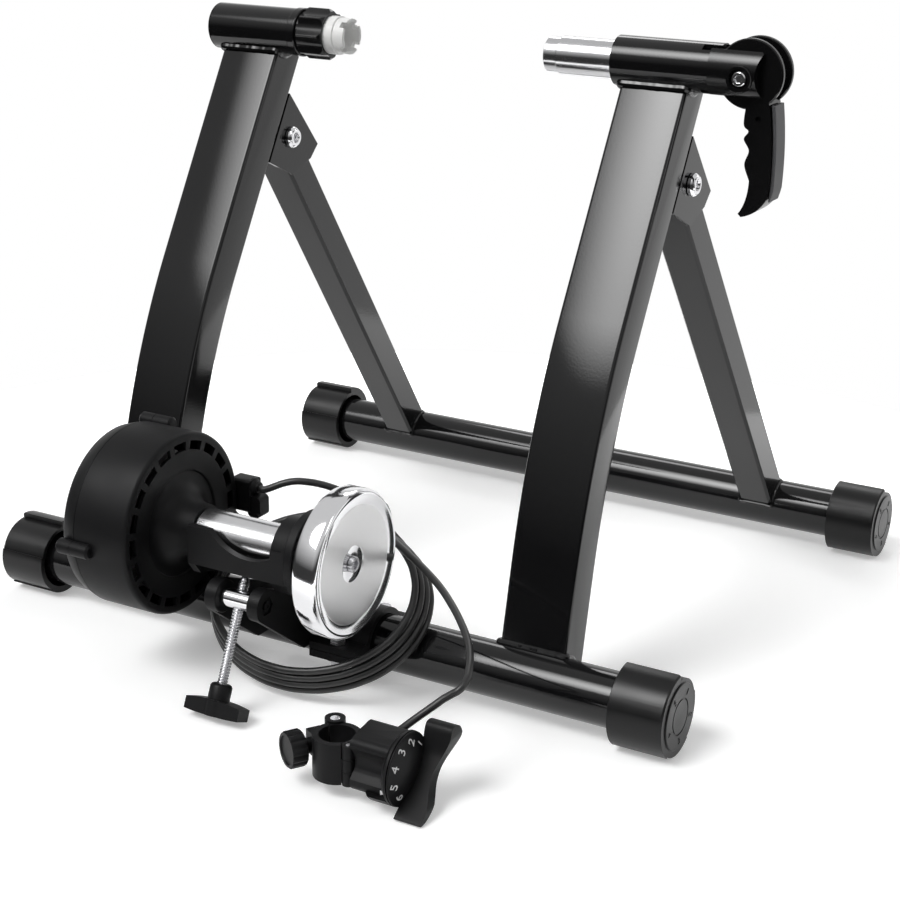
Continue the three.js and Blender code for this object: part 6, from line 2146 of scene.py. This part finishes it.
    def dial_and_lever(self) -> None:
        """The dial, its numbers and the thumb lever."""
        start = self.length + SEAT
        end = start + self.dial_depth
        rim = self.dial - 0.5
        profile = [
            (start, 0), (start, rim), (start + 0.4, self.dial), (start + 1.0, self.dial),
            (start + 1.4, rim), (start + 1.2, rim - 0.6), (end, self.crown), (end, 0)]
        dial = Solid.turned(profile, at=self.axis, sides=120)
        dial.piece("dial_body", BLACK, "selector", "shifter_dial", edge=0.2)
        size = self.wing_length
        shares = (
            (0.34, 0.35), (0.27, 0.13), (0.2, 0.02), (0.08, -0.12), (-0.05, -0.235), (-0.18, -0.335),
            (-0.27, -0.41), (-0.18, -0.415), (-0.05, -0.355), (0.08, -0.25), (0.2, -0.15),
            (0.34, -0.035), (0.46, 0.07), (0.55, 0.17), (0.53, 0.28), (0.46, 0.355))
        outline = smooth([(u * size, v * size, 0) for u, v in shares], 5, closed=True)
        low, high = start + 1.5, self.wing
        wave = (
            (0, 40), (0, 19), (0.6, 14), (3.2, 7), (5.6, 0), (6.2, -5), (4.6, -11), (1.4, -17),
            (0, -22), (0, -40))
        far = [(p.x, p.y) for p in smooth([(high - deep, z, 0) for deep, z in wave], 4)]
        hollow = Solid.prism([(low - 5, 40), *far, (low - 5, -40)], -60, 60, Axis.Y)
        lever = Solid.prism(outline, low, high) & hollow
        lever.moved(*self.axis).piece("lever_wing", BLACK, "selector", "shifter_lever", edge=1.2)
        self.numbers(start + 1.2, end, rim - 0.6)

    def numbers(self, low: float, high: float, rim: float) -> None:
        """Numbers 1 to 6 on the dial's sloping face, and the arrow beside them.

        Args:
            low, high: where the slope starts and ends along X.
            rim: the slope's outer radius.
        """
        slope = math.atan2(high - low, rim - self.crown)
        face = low + (rim - self.numbers_at) * math.tan(slope)
        marks = []
        for k in range(self.settings):
            angle = self.numbers_from + self.numbers_apart * k
            y, z = arc(0, 0, self.numbers_at, angle, angle, 1)[0]
            tilt = Matrix.Rotation(slope, 4, Vector((0, -z, y)))
            mark = Solid.lettering(str(k + 1), self.number, 0.25).placed(STANDING)
            first, more = self.numbers_turned
            mark = mark.rotated(first + more * k, Axis.X).placed(tilt)
            marks.append(mark.moved(face + 0.05, y, z))
        marks[0].beside(*marks[1:]).moved(*self.axis).piece("dial_numbers", NUMERALS, "selector")
        arrow = Solid.prism([(-1.6, -1.7), (2.2, 0), (-1.6, 1.7)], -0.12, 0.12, Axis.Y)
        arrow.moved(self.length - 7.2, self.front, -11.75).moved(*self.axis).piece(
            "index_arrow", NUMERALS, "front_frame")

    def build(self) -> None:
        """Every piece of the shifter."""
        self.body()
        self.jaw()
        self.thumb_screw()
        self.dial_and_lever()


def main() -> None:
    """Builds the pieces in order."""
    logging.basicConfig(level=logging.INFO, format="%(name)s: %(message)s")
    Studio().build()
    Cable().build()
    FootBar("front", "front_frame", 0.0, 0.0).build()
    FootBar("rear", "rear_frame", 6.85, 395.0).build()
    Uprights().build()
    Hinges().build()
    RearLegs().build()
    LeftClamp().build()
    RightClamp().build()
    ResistanceUnit().build()
    UnitBracket().build()
    Shifter().build()


if __name__ == "__main__":
    main()
